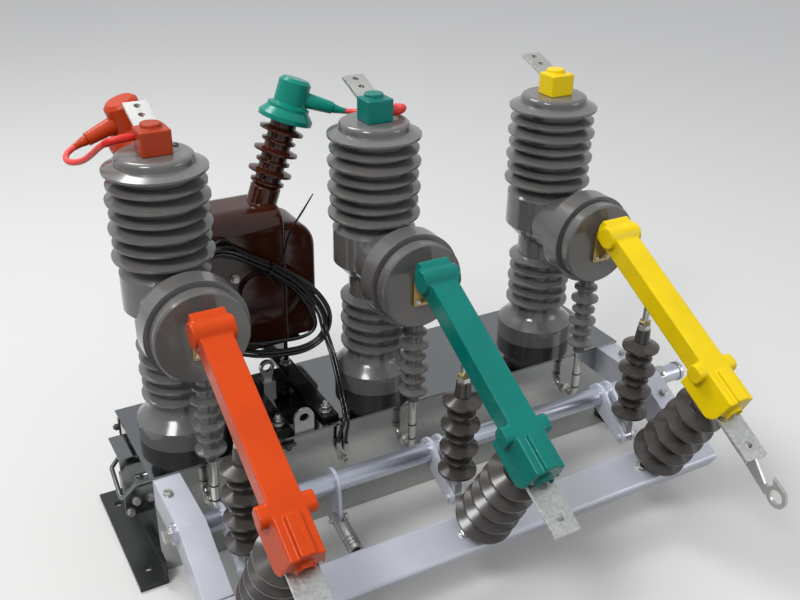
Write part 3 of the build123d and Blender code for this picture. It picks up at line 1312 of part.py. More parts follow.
# Pull handle, a bent rod from its boss to the box's end
with BuildPart() as handle:
    with BuildSketch(Plane(origin=(BOX_LEFT, HANDLE[0][1], HANDLE[0][2]), z_dir=(-1, 0, 0))):
        Circle(HANDLE_BOSS_RADIUS)
    extrude(amount=HANDLE_BOSS_LENGTH)
    with BuildLine() as handle_path:
        FilletPolyline(*HANDLE, radius=HANDLE_BEND)
    with BuildSketch(Plane(origin=handle_path.line @ 0, z_dir=handle_path.line % 0)):
        Circle(HANDLE_ROD_RADIUS)
    sweep(path=handle_path.line)
save(handle, "pull_handle")
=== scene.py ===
"""Looks of a three-pole automatic circuit recloser with a ganged knife disconnector.

Metres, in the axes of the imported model: X along the box from the red pole to the yellow one,
Y away from the disconnector, Z up. The model's pieces keep their shapes and get their finishes
here, and the leads and the small hardware are made in full.
"""

import itertools
import json
import logging
import math
from dataclasses import dataclass, field
from enum import Enum
from typing import Any, Iterator, Optional, Sequence, Union

import bmesh
import bpy
from mathutils import Matrix, Vector


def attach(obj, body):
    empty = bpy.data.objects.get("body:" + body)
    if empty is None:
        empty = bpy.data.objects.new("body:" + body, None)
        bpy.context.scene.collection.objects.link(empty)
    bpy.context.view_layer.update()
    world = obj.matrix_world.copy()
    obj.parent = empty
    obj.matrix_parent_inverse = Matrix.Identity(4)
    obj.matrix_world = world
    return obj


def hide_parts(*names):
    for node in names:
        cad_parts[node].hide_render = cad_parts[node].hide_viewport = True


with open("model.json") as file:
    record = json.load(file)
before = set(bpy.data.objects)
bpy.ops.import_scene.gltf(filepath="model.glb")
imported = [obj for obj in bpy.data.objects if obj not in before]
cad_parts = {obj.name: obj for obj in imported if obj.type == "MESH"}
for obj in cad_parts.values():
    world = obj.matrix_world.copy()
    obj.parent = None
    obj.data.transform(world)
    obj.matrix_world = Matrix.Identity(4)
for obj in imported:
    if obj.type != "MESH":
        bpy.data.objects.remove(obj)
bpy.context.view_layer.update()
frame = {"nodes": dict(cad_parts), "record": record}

log = logging.getLogger("recloser")

Colour = tuple[float, float, float]
Point = tuple[float, float, float]
Profile = Sequence[tuple[float, float]]
Sockets = dict[Union[str, int], Any]

MM_PER_M = 1000
UP: Point = (0, 0, 1)
FRONT: Point = (0, -1, 0)
BACK: Point = (0, 1, 0)
LEFT: Point = (-1, 0, 0)
RIGHT: Point = (1, 0, 0)


def srgb(red: int, green: int, blue: int) -> Colour:
    """Turn an 8-bit screen colour into a linear one.

    Args:
        red: Red, 0 to 255.
        green: Green, 0 to 255.
        blue: Blue, 0 to 255.

    Returns:
        The linear colour.
    """
    shares = [value / 255 for value in (red, green, blue)]
    linear = [s / 12.92 if s <= 0.04045 else ((s + 0.055) / 1.055) ** 2.4 for s in shares]
    return (linear[0], linear[1], linear[2])


def mm(x: float, y: float, z: float) -> Point:
    """Turn millimetres into metres."""
    return (x / MM_PER_M, y / MM_PER_M, z / MM_PER_M)


def shade(colour: Colour, factor: float) -> Colour:
    """Return a colour made darker or lighter by a factor."""
    return (colour[0] * factor, colour[1] * factor, colour[2] * factor)


class Value:
    """A shader socket that takes part in plain sums."""

    def __init__(self, graph: "Tree", socket: bpy.types.NodeSocket) -> None:
        """Keep the tree and the socket."""
        self.graph = graph
        self.socket = socket

    def _sum(self, operation: str, *terms: Union["Value", float]) -> "Value":
        """Add one Math node for an operation on the terms."""
        return self.graph.node("ShaderNodeMath", {"operation": operation}, dict(enumerate(terms)))

    def __add__(self, other: Union["Value", float]) -> "Value":
        """Add a value or a number."""
        return self._sum("ADD", self, other)

    __radd__ = __add__

    def __mul__(self, other: Union["Value", float]) -> "Value":
        """Multiply by a value or a number."""
        return self._sum("MULTIPLY", self, other)

    __rmul__ = __mul__

    def band(self, low: float, high: float) -> "Value":
        """Rise smoothly from 0 at low to 1 at high."""
        return self.graph.node(
            "ShaderNodeMapRange",
            {"interpolation_type": "SMOOTHSTEP"},
            {"Value": self, "From Min": low, "From Max": high},
        )


class Tree:
    """A node tree, with one call that adds any node with its settings and links."""

    def __init__(self, tree: bpy.types.NodeTree) -> None:
        """Take a tree and clear it."""
        self.tree = tree
        self.tree.nodes.clear()

    def node(
        self,
        kind: str,
        settings: Optional[dict[str, Any]] = None,
        sockets: Optional[Sockets] = None,
        output: Union[str, int] = 0,
    ) -> Value:
        """Add a node.

        Args:
            kind: The node's type.
            settings: Its properties, set first.
            sockets: Values or links of its inputs, by name or number.
            output: The output that is returned.

        Returns:
            The output as a value.
        """
        made = self.tree.nodes.new(kind)
        for name, value in (settings or {}).items():
            setattr(made, name, value)
        for key, value in (sockets or {}).items():
            if isinstance(value, Value):
                self.tree.links.new(value.socket, made.inputs[key])
            elif isinstance(value, tuple) and made.inputs[key].type == "RGBA":
                made.inputs[key].default_value = (*value, 1)
            else:
                made.inputs[key].default_value = value
        return Value(self, made.outputs[output])

    def end(self, kind: str, socket: str, value: Value) -> None:
        """Add the output node and link a value to it."""
        made = self.tree.nodes.new(kind)
        self.tree.links.new(value.socket, made.inputs[socket])


# Sockets of the mix node in its colour mode
MIX_FACTOR, MIX_FIRST, MIX_SECOND, MIX_RESULT = 0, 6, 7, 2
BEVEL_SAMPLES = 6


class Graph(Tree):
    """A material's node tree, with what the finishes share."""

    def __init__(self, material: bpy.types.Material) -> None:
        """Clear the material's tree."""
        material.use_nodes = True
        super().__init__(material.node_tree)

    def place(self) -> Value:
        """Return the object coordinates."""
        return self.node("ShaderNodeTexCoord", output="Object")

    def stretched(self, scale: Point) -> Value:
        """Return object coordinates scaled along each axis."""
        return self.node("ShaderNodeMapping", {}, {"Vector": self.place(), "Scale": scale})

    def noise(self, scale: float, detail: float, vector: Optional[Value] = None) -> Value:
        """Add noise.

        Args:
            scale: Cycles a metre.
            detail: Octaves.
            vector: Coordinates, the object's own if left out.

        Returns:
            The noise, 0 to 1.
        """
        spot = vector or self.place()
        return self.node("ShaderNodeTexNoise", {}, {"Vector": spot, "Scale": scale, "Detail": detail})

    def facing_up(self) -> Value:
        """Return how far a face of the piece at rest looks up, -1 to 1."""
        normal = self.node("ShaderNodeTexCoord", output="Normal")
        return self.node("ShaderNodeSeparateXYZ", {}, {"Vector": normal}, "Z")

    def mix(self, factor: Union[Value, float], first: Any, second: Any) -> Value:
        """Mix two colours."""
        sockets: Sockets = {MIX_FACTOR: factor, MIX_FIRST: first, MIX_SECOND: second}
        return self.node("ShaderNodeMix", {"data_type": "RGBA"}, sockets, MIX_RESULT)

    def rounded(self, radius: float) -> Value:
        """Return the normal with edges rounded to a radius."""
        return self.node("ShaderNodeBevel", {"samples": BEVEL_SAMPLES}, {"Radius": radius})

    def bump(self, height: Value, depth: float, normal: Optional[Value] = None) -> Value:
        """Raise the surface by a height map.

        Args:
            height: The map, 0 to 1.
            depth: Metres from 0 to 1.
            normal: The normal to start from.

        Returns:
            The bumped normal.
        """
        sockets: Sockets = {"Height": height, "Distance": depth, "Strength": 1.0}
        if normal:
            sockets["Normal"] = normal
        return self.node("ShaderNodeBump", {}, sockets)

    def surface(self, **sockets: Any) -> None:
        """Add the surface shader and link it to the output.

        Args:
            sockets: The shader's sockets by name, with underscores for blanks.
        """
        named = {name.replace("_", " "): value for name, value in sockets.items()}
        made = self.node("ShaderNodeBsdfPrincipled", {}, named)
        self.end("ShaderNodeOutputMaterial", "Surface", made)


MADE_MATERIALS: dict[str, bpy.types.Material] = {}


@dataclass(frozen=True)
class Finish:
    """What every finish has: a name, its main colour and its least roughness."""

    name: str
    colour: Colour
    roughness: float

    def paint(self, graph: Graph) -> None:
        """Fill the graph, which each kind of finish does in its own way."""
        raise NotImplementedError

    def tones(self, graph: Graph, share: Value, dark: float, light: float) -> Value:
        """Mix a darker and a lighter tone of the main colour, given by their factors."""
        return graph.mix(share, shade(self.colour, dark), shade(self.colour, light))

    def material(self) -> bpy.types.Material:
        """Build the material, or return it if it is there already."""
        if self.name not in MADE_MATERIALS:
            MADE_MATERIALS[self.name] = bpy.data.materials.new(self.name)
            self.paint(Graph(MADE_MATERIALS[self.name]))
        return MADE_MATERIALS[self.name]


@dataclass(frozen=True)
class Cast(Finish):
    """Cast epoxy or resin: glossy, faintly mottled, with dust on what faces up."""

    dust: float
    coat: float
    dust_colour: Colour = srgb(172, 170, 166)
    edge: float = 0.0012
    specular: float = 0.5
    grain_depth: float = 0.00002

    def paint(self, graph: Graph) -> None:
        """Fill the graph."""
        cloud = graph.noise(scale=9, detail=4)
        grain = graph.noise(scale=420, detail=3)
        streak = graph.noise(24, 5, graph.stretched((1, 1, 0.18))).band(0.56, 0.78)
        film = graph.facing_up().band(0.25, 0.95) * (0.4 + 0.6 * cloud) * self.dust
        base = self.tones(graph, cloud.band(0.3, 0.7), dark=0.9, light=1.08)
        streaked = graph.mix(streak * 0.35, base, shade(self.colour, 1.35))
        graph.surface(
            Base_Color=graph.mix(film, streaked, self.dust_colour),
            Roughness=self.roughness + 0.09 * cloud + 0.5 * film,
            Specular_IOR_Level=self.specular,
            Coat_Weight=self.coat,
            Coat_Roughness=0.06,
            Normal=graph.bump(grain, self.grain_depth, graph.rounded(self.edge)),
        )


@dataclass(frozen=True)
class Moulded(Finish):
    """Moulded plastic or silicone rubber: saturated, with fine scuffs and a soft gloss."""

    coat: float = 0.1
    scuffs: float = 0.3
    edge: float = 0.0018
    grain_depth: float = 0.00005
    specular: float = 0.25

    def paint(self, graph: Graph) -> None:
        """Fill the graph."""
        cloud = graph.noise(scale=14, detail=3)
        grain = graph.noise(scale=650, detail=2)
        scratch = graph.noise(90, 6, graph.stretched((1, 0.12, 0.4)))
        worn = scratch.band(0.62, 0.74) * self.scuffs
        base = self.tones(graph, cloud.band(0.25, 0.75), dark=0.93, light=1.06)
        graph.surface(
            Base_Color=graph.mix(worn * 0.5, base, shade(self.colour, 1.3)),
            Roughness=self.roughness + 0.1 * cloud + 0.3 * worn,
            Specular_IOR_Level=self.specular,
            Coat_Weight=self.coat,
            Coat_Roughness=0.1,
            Normal=graph.bump(grain, self.grain_depth, graph.rounded(self.edge)),
        )


@dataclass(frozen=True)
class Coated(Finish):
    """Paint or powder coat on steel: orange peel and a few dull smears."""

    metal: float = 0.0
    peel_depth: float = 0.00008
    edge: float = 0.0012

    def paint(self, graph: Graph) -> None:
        """Fill the graph."""
        peel = graph.noise(scale=260, detail=2)
        cloud = graph.noise(scale=7, detail=5)
        smear = graph.noise(30, 5, graph.stretched((0.25, 1, 1))).band(0.55, 0.8)
        base = self.tones(graph, cloud.band(0.3, 0.75), dark=0.92, light=1.05)
        graph.surface(
            Base_Color=graph.mix(smear * 0.25, base, shade(self.colour, 0.72)),
            Roughness=self.roughness + 0.12 * cloud + 0.12 * smear,
            Metallic=self.metal,
            Normal=graph.bump(peel, self.peel_depth, graph.rounded(self.edge)),
        )


@dataclass(frozen=True)
class BareMetal(Finish):
    """Bare or plated metal: brushed or polished, with smudges."""

    brush: Point = (1, 1, 1)
    brush_depth: float = 0.00003
    smudge: float = 0.12
    tarnish: Colour = srgb(120, 116, 108)
    tarnish_share: float = 0.2
    edge: float = 0.0006

    def paint(self, graph: Graph) -> None:
        """Fill the graph."""
        lines = graph.noise(600, 4, graph.stretched(self.brush))
        cloud = graph.noise(scale=11, detail=5)
        spots = graph.noise(scale=60, detail=4).band(0.55, 0.75)
        graph.surface(
            Base_Color=graph.mix(spots * self.tarnish_share, self.colour, self.tarnish),
            Roughness=self.roughness + self.smudge * cloud.band(0.35, 0.7) + 0.08 * lines,
            Metallic=1.0,
            Normal=graph.bump(lines, self.brush_depth, graph.rounded(self.edge)),
        )


@dataclass(frozen=True)
class Spangled(Finish):
    """Hot-dip galvanised steel with its crystal pattern."""

    crystal: float = 0.004
    grain_depth: float = 0.00004
    edge: float = 0.0006

    def paint(self, graph: Graph) -> None:
        """Fill the graph."""
        pattern: Sockets = {"Vector": graph.place(), "Scale": 1 / self.crystal}
        cells = graph.node("ShaderNodeTexVoronoi", {}, pattern, "Color")
        tone = graph.node("ShaderNodeSeparateColor", {}, {"Color": cells}, "Red")
        grain = graph.noise(scale=500, detail=3)
        scratch = graph.noise(160, 5, graph.stretched((1, 0.1, 0.3))).band(0.6, 0.75)
        base = self.tones(graph, tone, dark=0.84, light=1.06)
        graph.surface(
            Base_Color=graph.mix(scratch * 0.4, base, shade(self.colour, 1.25)),
            Roughness=self.roughness + 0.12 * tone + 0.06 * grain,
            Metallic=0.9,
            Normal=graph.bump(grain, self.grain_depth, graph.rounded(self.edge)),
        )


@dataclass(frozen=True)
class Sheath(Finish):
    """Cable sheath: smooth rubber with faint handling marks."""

    grain_depth: float = 0.00002

    def paint(self, graph: Graph) -> None:
        """Fill the graph."""
        cloud = graph.noise(scale=120, detail=4)
        graph.surface(
            Base_Color=self.tones(graph, cloud, dark=0.85, light=1.15),
            Roughness=self.roughness + 0.12 * cloud,
            Coat_Weight=0.15,
            Normal=graph.bump(cloud, self.grain_depth),
        )


EPOXY_GREY = srgb(98, 96, 94)
INSULATOR_GREY = srgb(58, 53, 49)
CAP_RED = srgb(166, 57, 26)
COVER_RED = srgb(200, 64, 0)
COVER_GREEN = srgb(0, 114, 104)
COVER_YELLOW = srgb(234, 202, 2)
HOOD_RED = srgb(184, 58, 14)
HOOD_GREEN = srgb(0, 130, 112)
RESIN_BROWN = srgb(60, 24, 11)
BROWN_DUST = srgb(120, 96, 86)
FRAME_SILVER = srgb(210, 212, 222)
LEAD_RED = srgb(232, 70, 62)
# Stainless steel made darker: a painted dark reflection, on the box and the end brackets
STAINLESS_WITH_PAINTED_DARK_REFLECTION = srgb(134, 136, 137)
# The same stainless steel made paler: a painted pale reflection, on the box's front
STAINLESS_WITH_PAINTED_PALE_REFLECTION = srgb(172, 174, 172)
ZINC = srgb(190, 190, 186)
BLACK = srgb(16, 16, 17)
# Stretch of the noise that makes brush marks: upright on the box, along the part elsewhere
UPRIGHT_BRUSH: Point = (1, 1, 0.04)
TUBE_BRUSH: Point = (1, 1, 0.1)
PLATE_BRUSH: Point = (1, 0.1, 1)
BLADE_BRUSH: Point = (1, 0.08, 0.08)
MIRROR_DEPTH = 0.000002

# The record's slots. The number after each colour is the roughness
FINISHES: dict[str, Finish] = {
    # The box's steel is darkened by a painted dark reflection
    "stainless_box": BareMetal("mirror_stainless_painted_dark_reflection", STAINLESS_WITH_PAINTED_DARK_REFLECTION, 0.03, UPRIGHT_BRUSH, MIRROR_DEPTH, 0.03),
    "foot_steel": Coated("foot_enamel", srgb(34, 37, 36), 0.18),
    "epoxy_grey": Cast("cast_epoxy", EPOXY_GREY, 0.12, dust=0.1, coat=0.3),
    "conduit_steel": BareMetal("polished_tube", srgb(212, 210, 204), 0.1, TUBE_BRUSH, brush_depth=0.00001),
    "red_cap": Moulded("red_cap_rubber", CAP_RED, 0.38),
    "green_cap": Moulded("green_cap_rubber", COVER_GREEN, 0.34),
    "yellow_cap": Moulded("yellow_cap_rubber", COVER_YELLOW, 0.34),
    "tinned_copper": BareMetal("tin_plate", srgb(208, 208, 203), 0.36, PLATE_BRUSH, brush_depth=0.00002),
    "copper": BareMetal("yellow_brass", srgb(168, 146, 96), 0.28, BLADE_BRUSH),
    "red_cover": Moulded("red_cover_plastic", COVER_RED, 0.24, coat=0.0),
    "green_cover": Moulded("green_cover_plastic", COVER_GREEN, 0.14, coat=0.08),
    "yellow_cover": Moulded("yellow_cover_plastic", COVER_YELLOW, 0.24, coat=0.0),
    "galvanised": Spangled("spangled_zinc", srgb(198, 199, 196), 0.3),
    "insulator_grey": Cast("brown_grey_epoxy", INSULATOR_GREY, 0.17, dust=0.06, coat=0.1),
    "frame_paint": Coated("silver_powder_coat", FRAME_SILVER, 0.27, metal=0.3),
    "zinc": BareMetal("bright_zinc", ZINC, 0.22),
    "hook_zinc": BareMetal("plated_hook", ZINC, 0.26, PLATE_BRUSH, brush_depth=0.00002),
    "end_stainless": BareMetal("bracket_stainless_painted_dark_reflection", STAINLESS_WITH_PAINTED_DARK_REFLECTION, 0.08, UPRIGHT_BRUSH, MIRROR_DEPTH, 0.05),
    "stand_black": Coated("black_enamel", srgb(14, 14, 14), 0.1, peel_depth=0.00003),
    "brown_resin": Cast("dark_brown_resin", RESIN_BROWN, 0.05, 0.03, 0.0, dust_colour=BROWN_DUST),
    "red_hood": Moulded("red_hood_silicone", HOOD_RED, 0.3, coat=0.0),
    "green_hood": Moulded("green_hood_silicone", HOOD_GREEN, 0.22),
    "lead_red": Sheath("red_silicone_lead", LEAD_RED, 0.34),
    "lead_black": Sheath("black_cable", BLACK, 0.2),
}
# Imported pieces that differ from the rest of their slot
NODE_FINISHES: dict[str, Finish] = {
    # The box's front gets a painted pale reflection, a paler tone of the same steel
    "mechanism_box": BareMetal("stainless_front_painted_pale_reflection", STAINLESS_WITH_PAINTED_PALE_REFLECTION, 0.05, UPRIGHT_BRUSH, MIRROR_DEPTH, 0.04),
    "shaft": Coated("silver_tube", srgb(196, 200, 212), 0.24, metal=0.85, peel_depth=0.00004),
}
DEEP_RED_SLEEVE = Moulded("deep_red_sleeve", srgb(204, 36, 30), 0.36, edge=0.0006)
DARK_STEEL = BareMetal("oiled_steel", srgb(92, 92, 90), 0.24)
YELLOW_ZINC = BareMetal("yellow_zinc", srgb(184, 168, 120), 0.26)
BLACK_NYLON = Moulded("black_nylon", BLACK, 0.34, edge=0.0004)


def dress(
    piece: bpy.types.Object, slot: str, body: str, finish: Optional[Finish] = None
) -> bpy.types.Object:
    """Give a new piece its finish and its body.

    Args:
        piece: The object.
        slot: The record's material slot, whose finish it gets unless another is given.
        body: The body that carries it.
        finish: A finish that stands in for the slot's own.

    Returns:
        The same object.
    """
    piece.data.materials.clear()
    piece.data.materials.append((finish or FINISHES[slot]).material())
    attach(piece, body)
    log.info("%s on %s", piece.name, body)
    return piece


class Phase(Enum):
    """The three phases, by their colour."""

    RED = "red"
    GREEN = "green"
    YELLOW = "yellow"

    @property
    def x(self) -> float:
        """Return the place of the pole's axis along the box, in millimetres."""
        return {Phase.RED: -380.0, Phase.GREEN: 0.0, Phase.YELLOW: 380.0}[self]


def linked(name: str, data: bpy.types.ID) -> bpy.types.Object:
    """Make an object of some data and put it in the scene."""
    piece = bpy.data.objects.new(name, data)
    bpy.context.scene.collection.objects.link(piece)
    return piece


def evaluated_mesh(piece: bpy.types.Object) -> bpy.types.Mesh:
    """Return the mesh that an object's modifiers or curve give."""
    graph = bpy.context.evaluated_depsgraph_get()
    return bpy.data.meshes.new_from_object(piece.evaluated_get(graph))


class Shape:
    """A mesh under way, made of turned and swept closed forms."""

    def __init__(self, crease: float = 35.0) -> None:
        """Start an empty mesh.

        Args:
            crease: Degrees between two faces from which their edge stays sharp.
        """
        self.mesh = bmesh.new()
        self.crease = math.radians(crease)

    def _skin(self, rings: list[list[bmesh.types.BMVert]], closed: bool) -> None:
        """Join rings of points by faces, and cap them or close them on themselves."""
        count = len(rings[0])
        pairs = list(zip(rings, rings[1:]))
        if closed:
            pairs.append((rings[-1], rings[0]))
        for low, high in pairs:
            for index in range(count):
                after = (index + 1) % count
                self.mesh.faces.new((low[index], low[after], high[after], high[index]))
        if not closed:
            self.mesh.faces.new(list(reversed(rings[0])))
            self.mesh.faces.new(rings[-1])

    def turned(
        self,
        profile: Profile,
        place: Point = (0, 0, 0),
        axis: Point = UP,
        sides: int = 24,
        closed: bool = False,
    ) -> "Shape":
        """Add a form turned about an axis.

        Args:
            profile: Radius and height pairs in millimetres, from the foot up.
            place: The foot's middle in millimetres.
            axis: The axis.
            sides: Sides round it, 6 for a hexagon.
            closed: Whether the profile runs round a ring with a hole.

        Returns:
            This shape.
        """
        turn = Vector(axis).to_track_quat("Z", "Y")
        rings = []
        for radius, height in profile:
            ring = []
            for index in range(sides):
                angle = math.tau * index / sides
                spot = Vector((radius * math.cos(angle), radius * math.sin(angle), height))
                ring.append(self.mesh.verts.new((Vector(place) + turn @ spot) / MM_PER_M))
            rings.append(ring)
        self._skin(rings, closed)
        return self

    def swept(
        self,
        line: Sequence[Vector],
        halves: Profile,
        up: Point,
        sides: int,
        closed: bool = False,
    ) -> "Shape":
        """Add a form swept along a line.

        Args:
            line: The line's points in metres.
            halves: Half width and half height in millimetres at each point.
            up: A direction that the height keeps to.
            sides: Sides round the line, 4 for a flat band.
            closed: Whether the line is a loop.

        Returns:
            This shape.
        """
        rings = []
        last = len(line) - 1
        first_angle = math.pi / 4 if sides == 4 else 0.0
        for index, spot in enumerate(line):
            before = line[index - 1] if closed or index else line[0]
            after = line[(index + 1) % len(line)] if closed or index < last else line[last]
            along = (after - before).normalized()
            side = along.cross(Vector(up)).normalized()
            rise = side.cross(along)
            wide, high = halves[index]
            ring = []
            for step in range(sides):
                angle = first_angle + math.tau * step / sides
                offset = side * (wide * math.cos(angle)) + rise * (high * math.sin(angle))
                ring.append(self.mesh.verts.new(spot + offset / MM_PER_M))
            rings.append(ring)
        self._skin(rings, closed)
        return self

    def block(self, low: Point, high: Point, bevel: float) -> "Shape":
        """Add a block with bevelled edges, by its corners in millimetres."""
        corners = itertools.product(*zip(low, high))
        verts = [self.mesh.verts.new(Vector(corner) / MM_PER_M) for corner in corners]
        rims = ((0, 1, 3, 2), (4, 6, 7, 5), (0, 4, 5, 1), (2, 3, 7, 6), (0, 2, 6, 4), (1, 5, 7, 3))
        faces = [self.mesh.faces.new([verts[index] for index in rim]) for rim in rims]
        edges = list({edge for face in faces for edge in face.edges})
        bmesh.ops.bevel(
            self.mesh, geom=edges, offset=bevel / MM_PER_M, segments=2, affect="EDGES", profile=0.5
        )
        return self

    def piece(self, name: str) -> bpy.types.Object:
        """Finish the mesh as an object with its normals outwards.

        Args:
            name: The object's name.

        Returns:
            The object.
        """
        bmesh.ops.recalc_face_normals(self.mesh, faces=self.mesh.faces[:])
        for edge in self.mesh.edges:
            edge.smooth = edge.calc_face_angle(0.0) < self.crease
        for face in self.mesh.faces:
            face.smooth = True
        data = bpy.data.meshes.new(name)
        self.mesh.to_mesh(data)
        self.mesh.free()
        return linked(name, data)


MERGE_DISTANCE = 0.00001


def merged_copy(node: str, crease: float = 35.0) -> Shape:
    """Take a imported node's mesh as a shape, with its doubled points merged.

    Args:
        node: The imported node.
        crease: Degrees between two faces from which their edge stays sharp.

    Returns:
        The shape.
    """
    shape = Shape(crease)
    shape.mesh.from_mesh(frame["nodes"][node].data)
    bmesh.ops.remove_doubles(shape.mesh, verts=shape.mesh.verts[:], dist=MERGE_DISTANCE)
    return shape


class PackedNodes:
    """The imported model's own pieces, which only get their finishes."""

    def build(self) -> None:
        """Put each node's finish in its material slots."""
        for row in frame["record"]["subparts"]:
            node = frame["nodes"][row["node"]]
            material = NODE_FINISHES.get(row["node"], FINISHES[row["material_slot"]]).material()
            for slot in node.material_slots:
                slot.material = material
        log.info("dressed %d packed pieces", len(frame["nodes"]))


@dataclass(frozen=True)
class ShedRow:
    """The smaller sheds of one stack, in millimetres: tip levels, and radii of core and tips."""

    levels: tuple[float, ...]
    core: float
    tip: float
    full_tip: float
    below: float = 0.5
    above: float = 9.5
    play: float = 1.0

    def widened(self, radius: float, height: float) -> float:
        """Return the radius that a point gets: more on the sheds, the same elsewhere."""
        beside = any(level - self.below < height < level + self.above for level in self.levels)
        if not beside or not self.core < radius < self.tip + self.play:
            return radius
        share = (radius - self.core) / (self.tip - self.core)
        return self.core + share * (self.full_tip - self.core)


@dataclass
class SheddedPole:
    """A cast pole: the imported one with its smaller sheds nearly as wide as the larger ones."""

    phase: Phase
    rows: tuple[ShedRow, ...] = (
        ShedRow((661.5, 614.1, 566.7), core=56.0, tip=70.0, full_tip=78.5),
        ShedRow((354.5, 307.5), core=46.0, tip=54.0, full_tip=59.5),
    )

    def build(self) -> None:
        """Widen the sheds on a merged copy of the node and let it stand for the node."""
        node = f"pole_{self.phase.value}"
        shape = merged_copy(node, crease=30)
        for vert in shape.mesh.verts:
            across = Vector((vert.co.x * MM_PER_M - self.phase.x, vert.co.y * MM_PER_M))
            height = vert.co.z * MM_PER_M
            for row in self.rows:
                radius = row.widened(across.length, height)
                if radius != across.length:
                    wide = across.normalized() * radius
                    vert.co.x = (wide.x + self.phase.x) / MM_PER_M
                    vert.co.y = wide.y / MM_PER_M
                    break
        piece = dress(shape.piece(f"{node}_casting"), "epoxy_grey", "frame")
        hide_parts(node)


@dataclass
class RoundedMoulding:
    """A moulded plastic part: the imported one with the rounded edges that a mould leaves."""

    node: str
    slot: str
    body: str
    grid: float = 0.0015
    passes: int = 7

    def change(self, shape: Shape) -> None:
        """Change the merged copy before it is rounded, which a plain moulding doesn't need."""

    def build(self) -> None:
        """Round a merged copy of the node and let it stand for the node."""
        shape = merged_copy(self.node)
        self.change(shape)
        piece = shape.piece(f"{self.node}_moulding")
        remesh = piece.modifiers.new("grid", "REMESH")
        remesh.mode = "VOXEL"
        remesh.voxel_size = self.grid
        smooth = piece.modifiers.new("round", "SMOOTH")
        smooth.factor = 0.5
        smooth.iterations = self.passes
        rounded = evaluated_mesh(piece)
        piece.modifiers.clear()
        piece.data = rounded
        rounded.shade_smooth()
        dress(piece, self.slot, self.body)
        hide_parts(self.node)


# A four-sided sweep measures to its corners, which lie this much further out than its sides
CORNER = math.sqrt(2)


@dataclass
class BladeCover(RoundedMoulding):
    """A blade's cover, with its skirt's corners rounded and its lower end closed over the contact.

    Lengths are in millimetres. Places are given along the blade from its hinge pin, and as the rise
    above it. The wall's widths are pairs of a height above its foot and a share of its full width.
    """

    middle_x: float = 0.0
    hinge: tuple[float, float] = (-222.0, 508.0)
    slope: float = math.radians(28.5)
    end_along: float = 366.0
    skirt_foot: float = -45.5
    corner_radius: float = 22.0
    cuts: int = 4
    wall_foot: float = -28.0
    wall_half_width: float = 25.0
    wall_widths: Profile = ((0.0, 0.62), (4.0, 0.93), (11.0, 1.0), (39.5, 1.0))
    wall_thickness: float = 5.0
    arch_radius: float = 12.5
    arch_middle: float = -17.0
    arch_straight: float = 4.0
    arch_reach: float = 9.0
    arch_sunk: float = 2.0
    arch_half_thickness: float = 2.4
    arch_steps: int = 8

    def _at(self, x: float, along: float, rise: float) -> Vector:
        """Return a place in metres from its x, its distance along the blade and its rise."""
        turn, flat = math.sin(self.slope), math.cos(self.slope)
        y = self.hinge[0] - along * flat - rise * turn
        z = self.hinge[1] - along * turn + rise * flat
        return Vector((x + self.middle_x, y, z)) / MM_PER_M

    def _round_corners(self, mesh: bmesh.types.BMesh) -> None:
        """Cut the skirt's lower corners by planes that touch a circle."""
        centre = (self.end_along - self.corner_radius, self.skirt_foot + self.corner_radius)
        for cut in range(self.cuts):
            angle = math.pi / 2 * (cut + 0.5) / self.cuts
            step = (self.corner_radius * math.cos(angle), -self.corner_radius * math.sin(angle))
            spot = self._at(0, centre[0] + step[0], centre[1] + step[1])
            outward = self._at(0, *step) - self._at(0, 0, 0)
            everything = mesh.verts[:] + mesh.edges[:] + mesh.faces[:]
            bmesh.ops.bisect_plane(mesh, geom=everything, plane_co=spot, plane_no=outward, clear_outer=True)
            bmesh.ops.holes_fill(mesh, edges=[edge for edge in mesh.edges if edge.is_boundary])

    def change(self, shape: Shape) -> None:
        """Round the skirt's lower corners, then add the end wall and the arch."""
        self._round_corners(shape.mesh)
        along = tuple(self._at(0, 1, 0) - self._at(0, 0, 0))
        near = self.end_along - self.wall_thickness / 2
        wall = [self._at(0, near, self.wall_foot + height) for height, _ in self.wall_widths]
        thick = self.wall_thickness / CORNER
        halves = [(self.wall_half_width * share * CORNER, thick) for _, share in self.wall_widths]
        shape.swept(wall, halves, along, sides=4)
        radius, shoulder = self.arch_radius, self.arch_middle - self.arch_straight
        bow = [(-radius, self.wall_foot), (-radius, shoulder)]
        for step in range(self.arch_steps + 1):
            angle = math.pi * (1 - step / self.arch_steps)
            bow.append((radius * math.cos(angle), self.arch_middle + radius * math.sin(angle)))
        bow += [(radius, shoulder), (radius, self.wall_foot)]
        band = self.end_along - self.arch_sunk + self.arch_reach / 2
        line = [self._at(x, band, rise) for x, rise in bow]
        section = (self.arch_half_thickness, self.arch_reach / CORNER)
        shape.swept(line, [section] * len(line), along, sides=4)


def smooth_line(name: str, points: Sequence[Point], radius: float) -> bpy.types.Object:
    """Make a round curve that runs smoothly near a list of points.

    Args:
        name: The object's name.
        points: The route.
        radius: The cord's radius.

    Returns:
        The curve object.
    """
    data = bpy.data.curves.new(name, "CURVE")
    data.dimensions = "3D"
    data.bevel_depth = radius
    data.bevel_resolution = 4
    data.resolution_u = 10
    data.use_fill_caps = True
    spline = data.splines.new("NURBS")
    spline.points.add(len(points) - 1)
    for target, point in zip(spline.points, points):
        target.co = (*point, 1)
    spline.order_u = 3
    spline.use_endpoint_u = True
    return linked(name, data)


def line_of(curve: bpy.types.Object) -> list[Vector]:
    """Return the points that a curve's own spline runs through."""
    bare = linked("bare_line", curve.data.copy())
    bare.data.bevel_depth = 0
    mesh = evaluated_mesh(bare)
    points = [vertex.co.copy() for vertex in mesh.vertices]
    bpy.data.objects.remove(bare)
    return points


